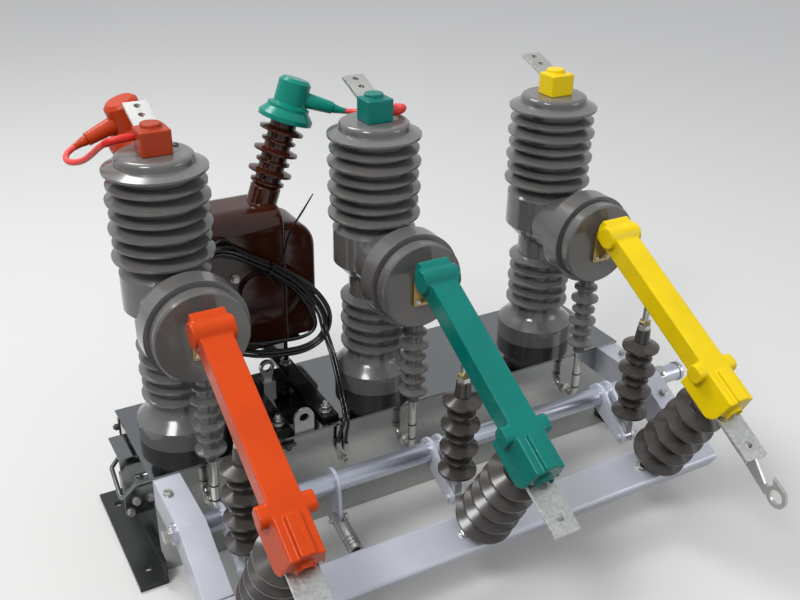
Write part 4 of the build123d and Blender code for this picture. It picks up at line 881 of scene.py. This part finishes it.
def stretch_of(line: Sequence[Vector], start: float, length: float, count: int) -> list[Vector]:
    """Read evenly spaced points from part of a line.

    Args:
        line: The line's points.
        start: Metres from its beginning, or from its end if negative.
        length: Metres that the part runs on, backwards if start is negative.
        count: How many points.

    Returns:
        The points.
    """
    spots = list(reversed(line)) if start < 0 else list(line)
    marks = [abs(start) + length * index / (count - 1) for index in range(count)]
    result = []
    gone = 0.0
    for before, after in zip(spots, spots[1:]):
        step = (after - before).length
        while marks and marks[0] <= gone + step:
            result.append(before.lerp(after, (marks.pop(0) - gone) / step))
        gone += step
    return result


@dataclass
class HighVoltageLead:
    """A silicone lead from a hood's spout to a cap, with its boot and its sleeve.

    The boot and the sleeve are given by their radii in millimetres at even steps.
    """

    phase: Phase
    route: Sequence[Point]
    length: float
    diameter: float = 0.01
    boot: Sequence[float] = (8.6, 8.4, 7.6, 6.7, 6.1, 5.7, 5.4)
    boot_length: float = 0.024
    sleeve: Sequence[float] = (5.35, 6.1, 6.3, 6.3, 6.3, 6.3, 6.3, 6.3, 6.3, 6.1, 5.35)
    sleeve_length: float = 0.048
    sleeve_start: float = -0.0005

    def _tube(self, line: Sequence[Vector], start: float, length: float, radii: Sequence[float]) -> Shape:
        """Sweep a tube along a part of the lead's line."""
        run = stretch_of(line, start, length, len(radii))
        return Shape().swept(run, [(radius, radius) for radius in radii], UP, sides=24)

    def build(self) -> None:
        colour = self.phase.value
        curve = smooth_line(f"lead_{colour}", self.route, self.diameter / 2)
        dress(curve, "lead_red", "frame")
        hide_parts(f"hv_lead_{colour}")
        line = line_of(curve)
        boot = self._tube(line, 0.0, self.boot_length, self.boot).piece(f"lead_boot_{colour}")
        dress(boot, f"{colour}_hood", "frame")
        sleeve = self._tube(line, self.sleeve_start, self.sleeve_length, self.sleeve)
        sleeve_piece = sleeve.piece(f"lead_sleeve_{colour}")
        dress(sleeve_piece, "lead_red", "frame", DEEP_RED_SLEEVE)


HANK_LOOP = (
    (-243, 78.9, 483), (-226, 78.9, 472.5), (-172, 78.9, 438.5), (-124.6, 74, 401),
    (-94, 65, 362), (-80, 53, 325), (-90.5, 45.5, 296), (-121.8, 49, 280),
    (-168.1, 58, 279), (-215.5, 63, 285), (-262, 68, 303), (-302, 73, 337),
    (-325, 77, 385), (-325, 78.9, 437), (-305, 78.9, 479), (-272, 78.9, 494),
)
HANK_SLACK = (0.25, 0, 0, 0.3, 0.75, 1.05, 1, 1, 0.9, 0.7, 0.55, 0.45, 0.45, 0.5, 0.5, 0.4)
HANK_TIED = (6.3, 0.0, -6.3)
FULL_TURNS = 2


@dataclass
class SecondaryWire:
    """One of the two wires that are wound into the tied hank and end in ring lugs.

    The lengths are in millimetres. A turn's offset is outwards from the hank's loop: tied where the
    tie holds it, and slack where the turns fan out.
    """

    name: str
    stands_for: tuple[str, ...]
    lead_in: Sequence[Point]
    way_out: Sequence[Point]
    slack_offsets: tuple[float, float, float]
    row: float
    last_lane: float
    dive_from: int
    dive: Sequence[float]
    shift_from: int
    shift: Sequence[float]
    spread: dict[int, float] = field(default_factory=dict)
    length: float = 2.8
    diameter: float = 0.006
    last_row: float = -9.6
    easing_from: int = 9
    end_lanes: tuple[float, ...] = (0, 0, 0, -1.5, -4.5)

    def _spot(self, index: int, offset: float, row: float) -> Point:
        """Return a point of the hank, by its outward offset and its row across."""
        count = len(HANK_LOOP)
        before, after = HANK_LOOP[index - 1], HANK_LOOP[(index + 1) % count]
        outward = Vector(FRONT).cross(Vector(after) - Vector(before)).normalized()
        spot = Vector(HANK_LOOP[index]) + outward * offset + Vector((0, row, 0))
        return (spot.x, spot.y, spot.z)

    def _offset(self, turn: int, index: int) -> float:
        """Return how far outwards a turn lies at a point of the loop."""
        return HANK_TIED[turn] + (self.slack_offsets[turn] - HANK_TIED[turn]) * HANK_SLACK[index]

    def _share(self, index: int, start: int, shares: Sequence[float]) -> float:
        """Return the share at a point, 0 before the start and 1 past the listed ones."""
        if index < start:
            return 0.0
        return shares[index - start] if index - start < len(shares) else 1.0

    def _turns(self) -> Iterator[Point]:
        """Run through the points of the three turns and of the way under the tie."""
        count = len(HANK_LOOP)
        for turn in range(FULL_TURNS):
            for index in range(count):
                ease = max(0, index - self.easing_from) / (count - self.easing_from)
                here, there = self._offset(turn, index), self._offset(turn + 1, index)
                yield self._spot(index, here + (there - here) * ease, self.row)
        for index in range(count):
            row = self.row + (self.last_row - self.row) * self._share(index, self.dive_from, self.dive)
            here = self._offset(FULL_TURNS, index)
            lane = here + (self.last_lane - here) * self._share(index, self.shift_from, self.shift)
            yield self._spot(index, lane - self.spread.get(index, 0.0), row)
        for index, lane in enumerate(self.end_lanes):
            yield self._spot(index, self.last_lane + lane, self.last_row)

    def build(self) -> None:
        route = [mm(*point) for point in (*self.lead_in, *self._turns(), *self.way_out)]
        curve = smooth_line(self.name, route, self.diameter / 2)
        dress(curve, "lead_black", "frame")
        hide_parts(*self.stands_for)


WIRE_A = SecondaryWire(
    "secondary_wire_left",
    ("secondary_hank", "secondary_tail_left"),
    lead_in=(
        (-288, 76, 424), (-288, 63, 424), (-288.5, 51, 430), (-291, 45.5, 447), (-293, 48, 468),
        (-291.5, 55, 489), (-283, 63, 506), (-266, 70, 513), (-248, 77, 506),
    ),
    way_out=(
        (-91, 47, 338), (-90, 37.5, 315), (-91.5, 22, 302), (-93, 4, 292), (-95, -22, 267),
        (-100, -50, 242), (-107, -77, 226), (-113, -98, 220.5), (-120, -118, 215),
        (-127, -126.5, 200), (-133, -120, 182), (-133, -120, 166),
    ),
    slack_offsets=(21.0, 8.6, -12.0),
    row=3.2,
    last_lane=-3.2,
    dive_from=11,
    dive=(0.1, 0.45, 0.8),
    shift_from=13,
    shift=(0.1, 0.5, 0.9),
    spread={10: 2, 11: 5, 12: 8, 13: 7, 14: 3},
)
WIRE_B = SecondaryWire(
    "secondary_wire_right",
    ("secondary_tail_right",),
    lead_in=(
        (-296, 76, 434), (-296, 63, 434), (-297.5, 51, 440), (-301, 45.5, 458), (-301, 46, 480),
        (-290, 51, 498), (-272, 58, 504), (-253, 66, 499.5),
    ),
    way_out=(
        (-84.5, 47, 340), (-83.5, 37.5, 317.5), (-85, 22, 304.5), (-87, 4, 294), (-89, -22, 269),
        (-94, -50, 244), (-101, -77, 228), (-107, -98, 222.5), (-113, -118, 217),
        (-117, -127, 200), (-119, -120.5, 178), (-119, -120.5, 160),
    ),
    slack_offsets=(15.4, 8.6, -18.0),
    row=-3.2,
    last_lane=3.2,
    dive_from=9,
    dive=(0.3, 0.7),
    shift_from=10,
    shift=(0.1, 0.3, 0.5, 0.7, 0.9),
    length=2.78,
)


@dataclass
class SecondaryFittings:
    """The gland that the secondary wires leave by, and the strap round their hank, in millimetres."""

    gland_middle: Point = (-292, 91.6, 429)
    flange: Profile = ((15.5, 0), (16, 0.5), (16, 3), (15.5, 3.5))
    cone: Profile = ((14.5, 3.4), (14, 5), (13, 10), (12, 14.5), (11.3, 15.4))
    strap_middle: Point = (-172, 78.9, 438.5)
    strap_half_width: float = 11.5
    strap_near: float = -14.2
    strap_far: float = 8.0
    strap_corner: float = 4.0
    corner_steps: int = 4
    band: tuple[float, float] = (0.9, 3.2)
    head_halves: Point = (4.2, 3.2, 4.2)
    head_outward: float = 6.0
    head_ahead: float = 2.0
    loose_half_width: float = 2.9
    loose_facing: Point = (0.3, -0.9, 0.2)
    loose_end: Sequence[Point] = (
        (-160, 64, 446), (-149, 66, 461), (-141, 68, 489), (-129, 70, 512), (-113, 70, 530), (-86, 70, 568),
    )
    taper_points: int = 6
    taper_step: float = 0.35

    def build(self) -> None:
        """Make the gland and the strap."""
        gland = Shape()
        for profile in (self.flange, self.cone):
            gland.turned(profile, self.gland_middle, FRONT, sides=36)
        dress(gland.piece("secondary_gland"), "lead_black", "frame", BLACK_NYLON)
        self._strap()

    def _strap(self) -> None:
        """Make the strap: its loop round the wires, its head and its loose end."""
        along = (Vector(HANK_LOOP[3]) - Vector(HANK_LOOP[1])).normalized()
        outward = Vector(FRONT).cross(along).normalized()
        depth = along.cross(outward)
        if depth.y < 0:
            depth = -depth
        middle = Vector(self.strap_middle)
        half, near, far, corner = self.strap_half_width, self.strap_near, self.strap_far, self.strap_corner
        loop = []
        for quarter, (wide, deep) in enumerate(((half, far), (-half, far), (-half, near), (half, near))):
            for step in range(self.corner_steps + 1):
                angle = math.pi / 2 * (quarter + step / self.corner_steps)
                u = wide - math.copysign(corner, wide) + corner * math.cos(angle)
                v = deep - math.copysign(corner, deep) + corner * math.sin(angle)
                loop.append((middle + outward * u + depth * v) / MM_PER_M)
        strap = Shape(crease=50)
        strap.swept(loop, [self.band] * len(loop), tuple(along), sides=4, closed=True)
        guide = smooth_line("strap_run", [mm(*point) for point in self.loose_end], radius=0.0)
        run = line_of(guide)
        bpy.data.objects.remove(guide)
        steps = [max(0, index + self.taper_points - len(run)) for index in range(len(run))]
        taper = [(self.band[0], self.loose_half_width - self.taper_step * step) for step in steps]
        strap.swept(run, taper, self.loose_facing, sides=4)
        head = middle + outward * self.head_outward + depth * (near - self.head_ahead)
        reach = Vector(self.head_halves)
        strap.block(tuple(head - reach), tuple(head + reach), bevel=0.9)
        dress(strap.piece("wire_strap"), "lead_black", "frame", BLACK_NYLON)


# Fasteners' profiles for a 10 mm thread, as radius and height in millimetres
HEXAGON: Profile = ((8.4, 0), (9.2, 0.7), (9.2, 6.3), (8.0, 7))
THIN_HEXAGON: Profile = ((10.2, 0), (11.0, 0.6), (11.0, 5.4), (10.2, 6))
FLAT_WASHER: Profile = ((10.4, -0.6), (10.8, -0.2), (10.8, 1.4), (10.4, 1.8))
SPRING_WASHER: Profile = ((8.0, 1.6), (8.3, 1.8), (8.3, 3.6), (8.0, 3.9))
HOLLOW_TOP: Profile = ((6.6, 10.0), (6.2, 9.7))
PAN_HEAD: Profile = ((9.5, -0.6), (9.5, 3), (8.8, 4.6), (6.8, 5.8), (4.6, 6.2), (4.2, 4.2))
CLAMP_TIP: Profile = ((3.6, 9), (3.6, 12), (3.2, 12.6))
WASHERS_TOP = 3.8
THREAD_ROOT, THREAD_CREST = 4.35, 4.9
THREAD_FOOT, THREAD_TOP, HALF_PITCH, HALF_TURNS = 10, 19.8, 0.75, 13
PIN_RING_RADIUS, PIN_RING_HEIGHT, PIN_RING_POINTS = 3.1, 10.5, 9
PIN_RING_START, PIN_RING_STEP = -80, 32.5


class Fastener(Enum):
    """The kinds of fastener, all drawn at the size of a 10 mm thread."""

    STUD_NUT = "stud_nut"
    BOLT = "bolt"
    SCREW = "screw"
    LOCK_NUT = "lock_nut"
    CLAMP = "clamp"
    SPLIT_PIN = "split_pin"

    def shape(self) -> Shape:
        """Build the fastener standing on the origin, its axis along Z."""
        made = Shape(crease=30)
        if self in (Fastener.STUD_NUT, Fastener.BOLT):
            made.turned(FLAT_WASHER)
            made.turned(SPRING_WASHER)
        if self is Fastener.STUD_NUT:
            made.turned([(radius, height + WASHERS_TOP) for radius, height in HEXAGON], sides=6)
            thread = [
                (THREAD_CREST if step % 2 else THREAD_ROOT, THREAD_FOOT + step * HALF_PITCH)
                for step in range(HALF_TURNS)
            ]
            made.turned([*thread, (4.0, THREAD_TOP)], sides=16)
        if self is Fastener.BOLT:
            head = [(radius, height * 0.9 + WASHERS_TOP) for radius, height in HEXAGON]
            made.turned([*head, *HOLLOW_TOP], sides=6)
        if self is Fastener.SCREW:
            made.turned(PAN_HEAD)
        if self is Fastener.LOCK_NUT:
            made.turned(THIN_HEXAGON, sides=6)
        if self is Fastener.CLAMP:
            made.block((-17, -3.5, -0.4), (17, 3.5, 3.2), bevel=0.8)
            made.turned([(radius * 0.72, height + 2.8) for radius, height in HEXAGON], sides=6)
            made.turned(CLAMP_TIP, sides=16)
        if self is Fastener.SPLIT_PIN:
            for side in (-1, 1):
                leg = [mm(side, 0, 7.5), mm(side * 0.9, 0, -6), mm(side * 2.4, 0, -9.5)]
                made.swept([Vector(spot) for spot in leg], [(0.8, 0.8)] * len(leg), BACK, sides=8)
            ring = []
            for step in range(PIN_RING_POINTS):
                angle = math.radians(PIN_RING_START + PIN_RING_STEP * step)
                x, z = PIN_RING_RADIUS * math.cos(angle), PIN_RING_RADIUS * math.sin(angle)
                ring.append(Vector((x, 0, PIN_RING_HEIGHT + z)) / MM_PER_M)
            made.swept(ring, [(0.85, 0.85)] * len(ring), BACK, sides=8)
        return made


@dataclass(frozen=True)
class Spot:
    """A place for a fastener: its foot in millimetres, its axis and its size against 10 mm."""

    place: Point
    axis: Point
    size: float = 1.0


# The random value node's output for numbers
RANDOM_FLOAT = 1


class FastenerTree(Tree):
    """The geometry nodes that set a fastener on each point of a mesh, along the point's axis."""

    def __init__(self) -> None:
        """Build the tree with its named inputs."""
        super().__init__(bpy.data.node_groups.new("fasteners", "GeometryNodeTree"))
        face = self.tree.interface
        face.new_socket("Geometry", in_out="OUTPUT", socket_type="NodeSocketGeometry")
        sorts = {
            "Points": "NodeSocketGeometry",
            "Shape": "NodeSocketObject",
            "Finish": "NodeSocketMaterial",
            "Largest Turn": "NodeSocketFloat",
            "Turn Seed": "NodeSocketInt",
        }
        for name, sort in sorts.items():
            face.new_socket(name, in_out="INPUT", socket_type=sort)
        self.inputs = {item.name: item.identifier for item in face.items_tree if item.in_out == "INPUT"}
        attribute = "GeometryNodeInputNamedAttribute"
        axis = self.node(attribute, {"data_type": "FLOAT_VECTOR"}, {"Name": "axis"})
        size = self.node(attribute, {"data_type": "FLOAT"}, {"Name": "size"})
        along = self.node("FunctionNodeAlignRotationToVector", {"axis": "Z"}, {"Vector": axis})
        seed: Sockets = {"Seed": self._input("Turn Seed")}
        share = self.node("FunctionNodeRandomValue", {"data_type": "FLOAT"}, seed, RANDOM_FLOAT)
        angle = share * self._input("Largest Turn")
        turn = self.node("FunctionNodeAxisAngleToRotation", {}, {"Axis": UP, "Angle": angle})
        turned: Sockets = {"Rotation": along, "Rotate By": turn}
        both = self.node("FunctionNodeRotateRotation", {"rotation_space": "LOCAL"}, turned)
        shape = self.node("GeometryNodeObjectInfo", {}, {"Object": self._input("Shape")}, "Geometry")
        sockets: Sockets = {
            "Points": self._input("Points"),
            "Instance": shape,
            "Rotation": both,
            "Scale": size,
        }
        placed = self.node("GeometryNodeInstanceOnPoints", {}, sockets)
        real = self.node("GeometryNodeRealizeInstances", {}, {"Geometry": placed})
        finished: Sockets = {"Geometry": real, "Material": self._input("Finish")}
        self.end("NodeGroupOutput", "Geometry", self.node("GeometryNodeSetMaterial", {}, finished))

    def _input(self, name: str) -> Value:
        """Return one of the tree's inputs."""
        return self.node("NodeGroupInput", output=name)


@dataclass
class FastenerSet:
    """Like fasteners on one body, set by the geometry nodes."""

    name: str
    kind: Fastener
    body: str
    spots: Sequence[Spot]
    finish: Finish = FINISHES["zinc"]
    slot: str = "zinc"
    largest_turn: float = 1.0
    seed: int = 7

    def build(self, tree: FastenerTree) -> None:
        """Scatter the fasteners and keep the result as a plain mesh.

        Args:
            tree: The geometry nodes.
        """
        points = bpy.data.meshes.new(self.name)
        points.from_pydata([mm(*spot.place) for spot in self.spots], [], [])
        points.attributes.new("axis", "FLOAT_VECTOR", "POINT")
        points.attributes.new("size", "FLOAT", "POINT")
        axes, sizes = points.attributes["axis"], points.attributes["size"]
        for index, spot in enumerate(self.spots):
            axes.data[index].vector = spot.axis
            sizes.data[index].value = spot.size
        piece = linked(self.name, points)
        template = self.kind.shape().piece(f"{self.kind.value}_pattern")
        modifier = piece.modifiers.new("scatter", "NODES")
        modifier.node_group = tree.tree
        values = {
            "Shape": template,
            "Finish": self.finish.material(),
            "Largest Turn": self.largest_turn,
            "Turn Seed": self.seed,
        }
        for name, value in values.items():
            modifier[tree.inputs[name]] = value
        made = evaluated_mesh(piece)
        piece.modifiers.clear()
        piece.data = made
        for name in ("axis", "size"):
            if name in made.attributes:
                made.attributes.remove(made.attributes[name])
        bpy.data.objects.remove(template)
        dress(piece, self.slot, self.body, self.finish)


def fastener_sets() -> list[FastenerSet]:
    """List every group of fasteners on the recloser."""
    slope = (0, -0.4772, 0.8788)
    rod_lean, rod_length = 0.0345, 246.6
    stand = [Spot((x, y, 211), UP) for x, y in ((-231, -78), (-139, -78), (-139, 106), (-231, 103))]
    clamps = [Spot((x, -115.6, 187.5), FRONT) for x in (-231, 231)]
    clamps += [Spot((x, 109.6, 187.5), BACK) for x in (-231, 231)]
    clamps += [Spot((-471.6, 79, 187.5), LEFT), Spot((508.6, 79, 187.5), RIGHT)]
    bolts = [
        Spot((-457, -164, 199), UP, 0.8),
        Spot((489, -158, 199), UP, 0.8),
        Spot((484.7, -285.5, 179.2), slope, 0.8),
        Spot((-480, -20, 92), FRONT, 0.7),
        Spot((-492, -20, 72), FRONT, 0.7),
        Spot((-234.4, 91, 423), FRONT, 0.8),
    ]
    bolts += [Spot((phase.x - 35, -390, 122), slope, 0.9) for phase in Phase]
    plates = [Spot((phase.x + side, -182, 449), FRONT, 0.5) for phase in Phase for side in (-12, 12)]
    heads = [Spot((phase.x + 40, 16, 711), UP, 0.5) for phase in Phase]
    shaft_end = [Spot((-476, -231, 176), LEFT, 1.2)]
    pins = [Spot((phase.x + 18, -305, 127), RIGHT, 0.8) for phase in Phase]
    sets = [
        FastenerSet("stand_studs", Fastener.STUD_NUT, "frame", stand),
        FastenerSet("lid_clamps", Fastener.CLAMP, "frame", clamps, DARK_STEEL, largest_turn=0.0),
        FastenerSet("frame_bolts", Fastener.BOLT, "frame", bolts),
        FastenerSet("hinge_plate_screws", Fastener.SCREW, "frame", plates),
        FastenerSet("pole_head_screws", Fastener.SCREW, "frame", heads, DARK_STEEL),
        FastenerSet("shaft_end_bolt", Fastener.BOLT, "operating_shaft", shaft_end),
        FastenerSet("lever_split_pins", Fastener.SPLIT_PIN, "operating_shaft", pins, largest_turn=0.6),
    ]
    for phase in Phase:
        spot = Spot((phase.x, -305 - rod_lean * rod_length, 373.4), (0, -rod_lean, 0.9994))
        name, body = f"rod_lock_nut_{phase.value}", f"pull_rod_{phase.value}"
        sets.append(FastenerSet(name, Fastener.LOCK_NUT, body, [spot], YELLOW_ZINC))
    return sets


@dataclass
class ConduitFittings:
    """Hexagon glands and dark bands on the three bent tubes, in millimetres."""

    across: float = 6.0
    gland_foot: tuple[float, float] = (-112.0, 123.0)
    hexagon: Profile = ((11.4, -0.4), (12.4, 0.4), (12.4, 5.6), (11.2, 6.6))
    sleeve: Profile = ((9.6, 6.2), (9.6, 9.2), (9.0, 10))
    leg_front: float = -142.0
    bands: tuple[float, float] = (173.0, 143.0)
    band: Profile = ((7.3, 0), (8.3, 0.3), (8.3, 2.3), (7.3, 2.6))

    def build(self) -> None:
        """Make the glands and the bands."""
        glands = Shape(crease=30)
        bands = Shape()
        for phase in Phase:
            x = phase.x + self.across
            glands.turned(self.hexagon, (x, *self.gland_foot), FRONT, sides=6)
            glands.turned(self.sleeve, (x, *self.gland_foot), FRONT, sides=20)
            for height in self.bands:
                bands.turned(self.band, (x, self.leg_front, height), closed=True)
        dress(glands.piece("conduit_glands"), "zinc", "frame")
        dress(bands.piece("conduit_bands"), "lead_black", "frame", BLACK_NYLON)


@dataclass
class ShaftCollar:
    """The set collar and the end ring at the shaft's right end, in millimetres."""

    middle: tuple[float, float] = (-231.0, 176.0)
    collar_foot: float = 509.0
    collar: Profile = ((17.2, 0), (20, 0), (21, 1), (21, 20), (20, 21), (17.2, 21))
    rim_foot: float = 565.6
    rim: Profile = ((17.2, 0), (18.9, 0), (19.5, 0.6), (19.5, 7.4), (18.9, 8), (17.2, 8))
    screw_x: float = 519.5
    screw_out: float = 14.5
    screw: Profile = ((5, -1), (5, 5), (4.4, 5.6))
    screw_axis: Point = (0, -0.707, 0.707)

    def build(self) -> None:
        """Make both rings and the set screw."""
        y, z = self.middle
        rings = Shape()
        for profile, foot in ((self.collar, self.collar_foot), (self.rim, self.rim_foot)):
            rings.turned(profile, (foot, y, z), RIGHT, sides=40, closed=True)
        screw_place = (self.screw_x, y - self.screw_out, z + self.screw_out)
        rings.turned(self.screw, screw_place, self.screw_axis, sides=6)
        dress(rings.piece("shaft_collars"), "zinc", "operating_shaft")


RED_ROUTE: Sequence[Point] = (
    (-0.4486, 0.1454, 0.698), (-0.4738, 0.1416, 0.6891), (-0.4905, 0.1215, 0.683),
    (-0.49, 0.094, 0.681), (-0.473, 0.071, 0.688), (-0.462, 0.046, 0.706),
    (-0.4505, 0.0185, 0.7285), (-0.427, 0.008, 0.736), (-0.4048, 0.008, 0.736),
)
GREEN_ROUTE: Sequence[Point] = (
    (-0.0162, 0.1324, 0.699), (0.0044, 0.1253, 0.6917), (0.027, 0.112, 0.6925),
    (0.046, 0.092, 0.699), (0.059, 0.066, 0.708), (0.0646, 0.042, 0.716),
    (0.0646, 0.018, 0.7215), (0.0595, 0.0057, 0.722), (0.0501, -0.0037, 0.722),
    (0.0378, -0.0088, 0.722), (0.0246, -0.0088, 0.722),
)


@dataclass(frozen=True)
class Lamp:
    """A square area lamp: where it hangs, its watts and its side, in metres."""

    name: str
    place: Point
    power: float
    size: float

    def build(self, aim: Point) -> None:
        """Hang the lamp so that it looks at a point."""
        data = bpy.data.lights.new(self.name, "AREA")
        data.energy = self.power
        data.size = self.size
        lamp = linked(self.name, data)
        lamp.location = self.place
        lamp.rotation_mode = "QUATERNION"
        lamp.rotation_quaternion = (Vector(aim) - Vector(self.place)).to_track_quat("-Z", "Y")


@dataclass
class Studio:
    """A pale floor and plain soft lamps."""

    floor_colour: Colour = srgb(214, 213, 210)
    floor_bounce: Colour = srgb(112, 111, 109)
    room_colour: Colour = (0.93, 0.95, 1.0)
    seen_colour: Colour = srgb(206, 208, 211)
    floor_size: float = 30.0
    floor_drop: float = 0.0006
    low_strength: float = 0.2
    high_strength: float = 0.85
    aim: Point = (0, -0.1, 0.35)
    lamps: tuple[Lamp, ...] = (
        Lamp("key", (-1.9, -1.2, 3.0), 50.0, 0.9),
        Lamp("top", (-0.9, 1.7, 3.3), 52.0, 1.1),
        Lamp("fill", (2.6, -2.2, 1.6), 16.0, 1.4),
    )

    def build(self) -> None:
        """Make floor, world and lamps."""
        mesh = bpy.data.meshes.new("floor")
        half = self.floor_size / 2
        corners = [(-half, -half, 0), (half, -half, 0), (half, half, 0), (-half, half, 0)]
        mesh.from_pydata(corners, [], [(0, 1, 2, 3)])
        floor = linked("floor", mesh)
        floor.location.z = -self.floor_drop
        material = bpy.data.materials.new("floor")
        graph = Graph(material)
        tone = graph.mix(self._seen(graph), self.floor_bounce, self.floor_colour)
        graph.surface(Base_Color=tone, Roughness=0.7)
        mesh.materials.append(material)
        self._world()
        for lamp in self.lamps:
            lamp.build(self.aim)
        bpy.context.scene.view_settings.view_transform = "Standard"

    def _world(self) -> None:
        """Light the room evenly, with a pale background for the eye, for metal and for glass."""
        world = bpy.data.worlds.new("room")
        bpy.context.scene.world = world
        world.use_nodes = True
        tree = Tree(world.node_tree)
        way = tree.node("ShaderNodeTexCoord", output="Generated")
        height = tree.node("ShaderNodeSeparateXYZ", {}, {"Vector": way}, "Z")
        strength = self.low_strength + (self.high_strength - self.low_strength) * height.band(-0.1, 0.9)
        room = tree.node("ShaderNodeBackground", {}, {"Color": self.room_colour, "Strength": strength})
        seen = tree.node("ShaderNodeBackground", {}, {"Color": self.seen_colour, "Strength": 1.0})
        shares = dict(enumerate((self._seen(tree), room, seen)))
        mixed = tree.node("ShaderNodeMixShader", {}, shares)
        tree.end("ShaderNodeOutputWorld", "Surface", mixed)

    def _seen(self, tree: Tree) -> Value:
        """Return 1 for the rays by which the eye, metal and glass see the background."""
        camera, glossy, through = [
            tree.node("ShaderNodeLightPath", output=f"Is {kind} Ray")
            for kind in ("Camera", "Glossy", "Transmission")
        ]
        return camera + glossy + through


@dataclass
class PhotoCamera:
    """The photograph's camera, fitted to measured corners of the object."""

    place: Point = (-0.74236, -1.41176, 1.19159)
    azimuth: float = math.radians(-29.495)
    elevation: float = math.radians(27.336)
    roll: float = math.radians(0.981)
    lens: float = 43.41
    sensor: float = 36.0
    nearest: float = 0.02
    farthest: float = 60.0

    def build(self) -> None:
        """Make the camera and set it as the scene's."""
        a, e = self.azimuth, self.elevation
        back = Vector((math.sin(a) * math.cos(e), -math.cos(a) * math.cos(e), math.sin(e)))
        right = Vector((math.cos(a), math.sin(a), 0))
        up = back.cross(right)
        tilted_right = math.cos(self.roll) * right + math.sin(self.roll) * up
        tilted_up = math.cos(self.roll) * up - math.sin(self.roll) * right
        data = bpy.data.cameras.new("photo")
        data.lens = self.lens
        data.sensor_width = self.sensor
        data.clip_start = self.nearest
        data.clip_end = self.farthest
        camera = linked("photo", data)
        turn = Matrix((tilted_right, tilted_up, back)).transposed()
        camera.matrix_world = Matrix.Translation(self.place) @ turn.to_4x4()
        bpy.context.scene.camera = camera


def main() -> None:
    """Build everything in order."""
    logging.basicConfig(level=logging.INFO, format="%(name)s: %(message)s")
    PhotoCamera().build()
    HighVoltageLead(Phase.RED, RED_ROUTE, 0.222).build()
    HighVoltageLead(Phase.GREEN, GREEN_ROUTE, 0.2).build()
    WIRE_A.build()
    WIRE_B.build()
    Studio().build()
    PackedNodes().build()
    for phase in Phase:
        colour = phase.value
        SheddedPole(phase).build()
        BladeCover(f"blade_cover_{colour}", f"{colour}_cover", f"blade_{colour}", middle_x=phase.x).build()
        RoundedMoulding(f"terminal_cap_{colour}", f"{colour}_cap", "frame", grid=0.001, passes=6).build()
    SecondaryFittings().build()
    tree = FastenerTree()
    for fasteners in fastener_sets():
        fasteners.build(tree)
    ConduitFittings().build()
    ShaftCollar().build()


if __name__ == "__main__":
    main()
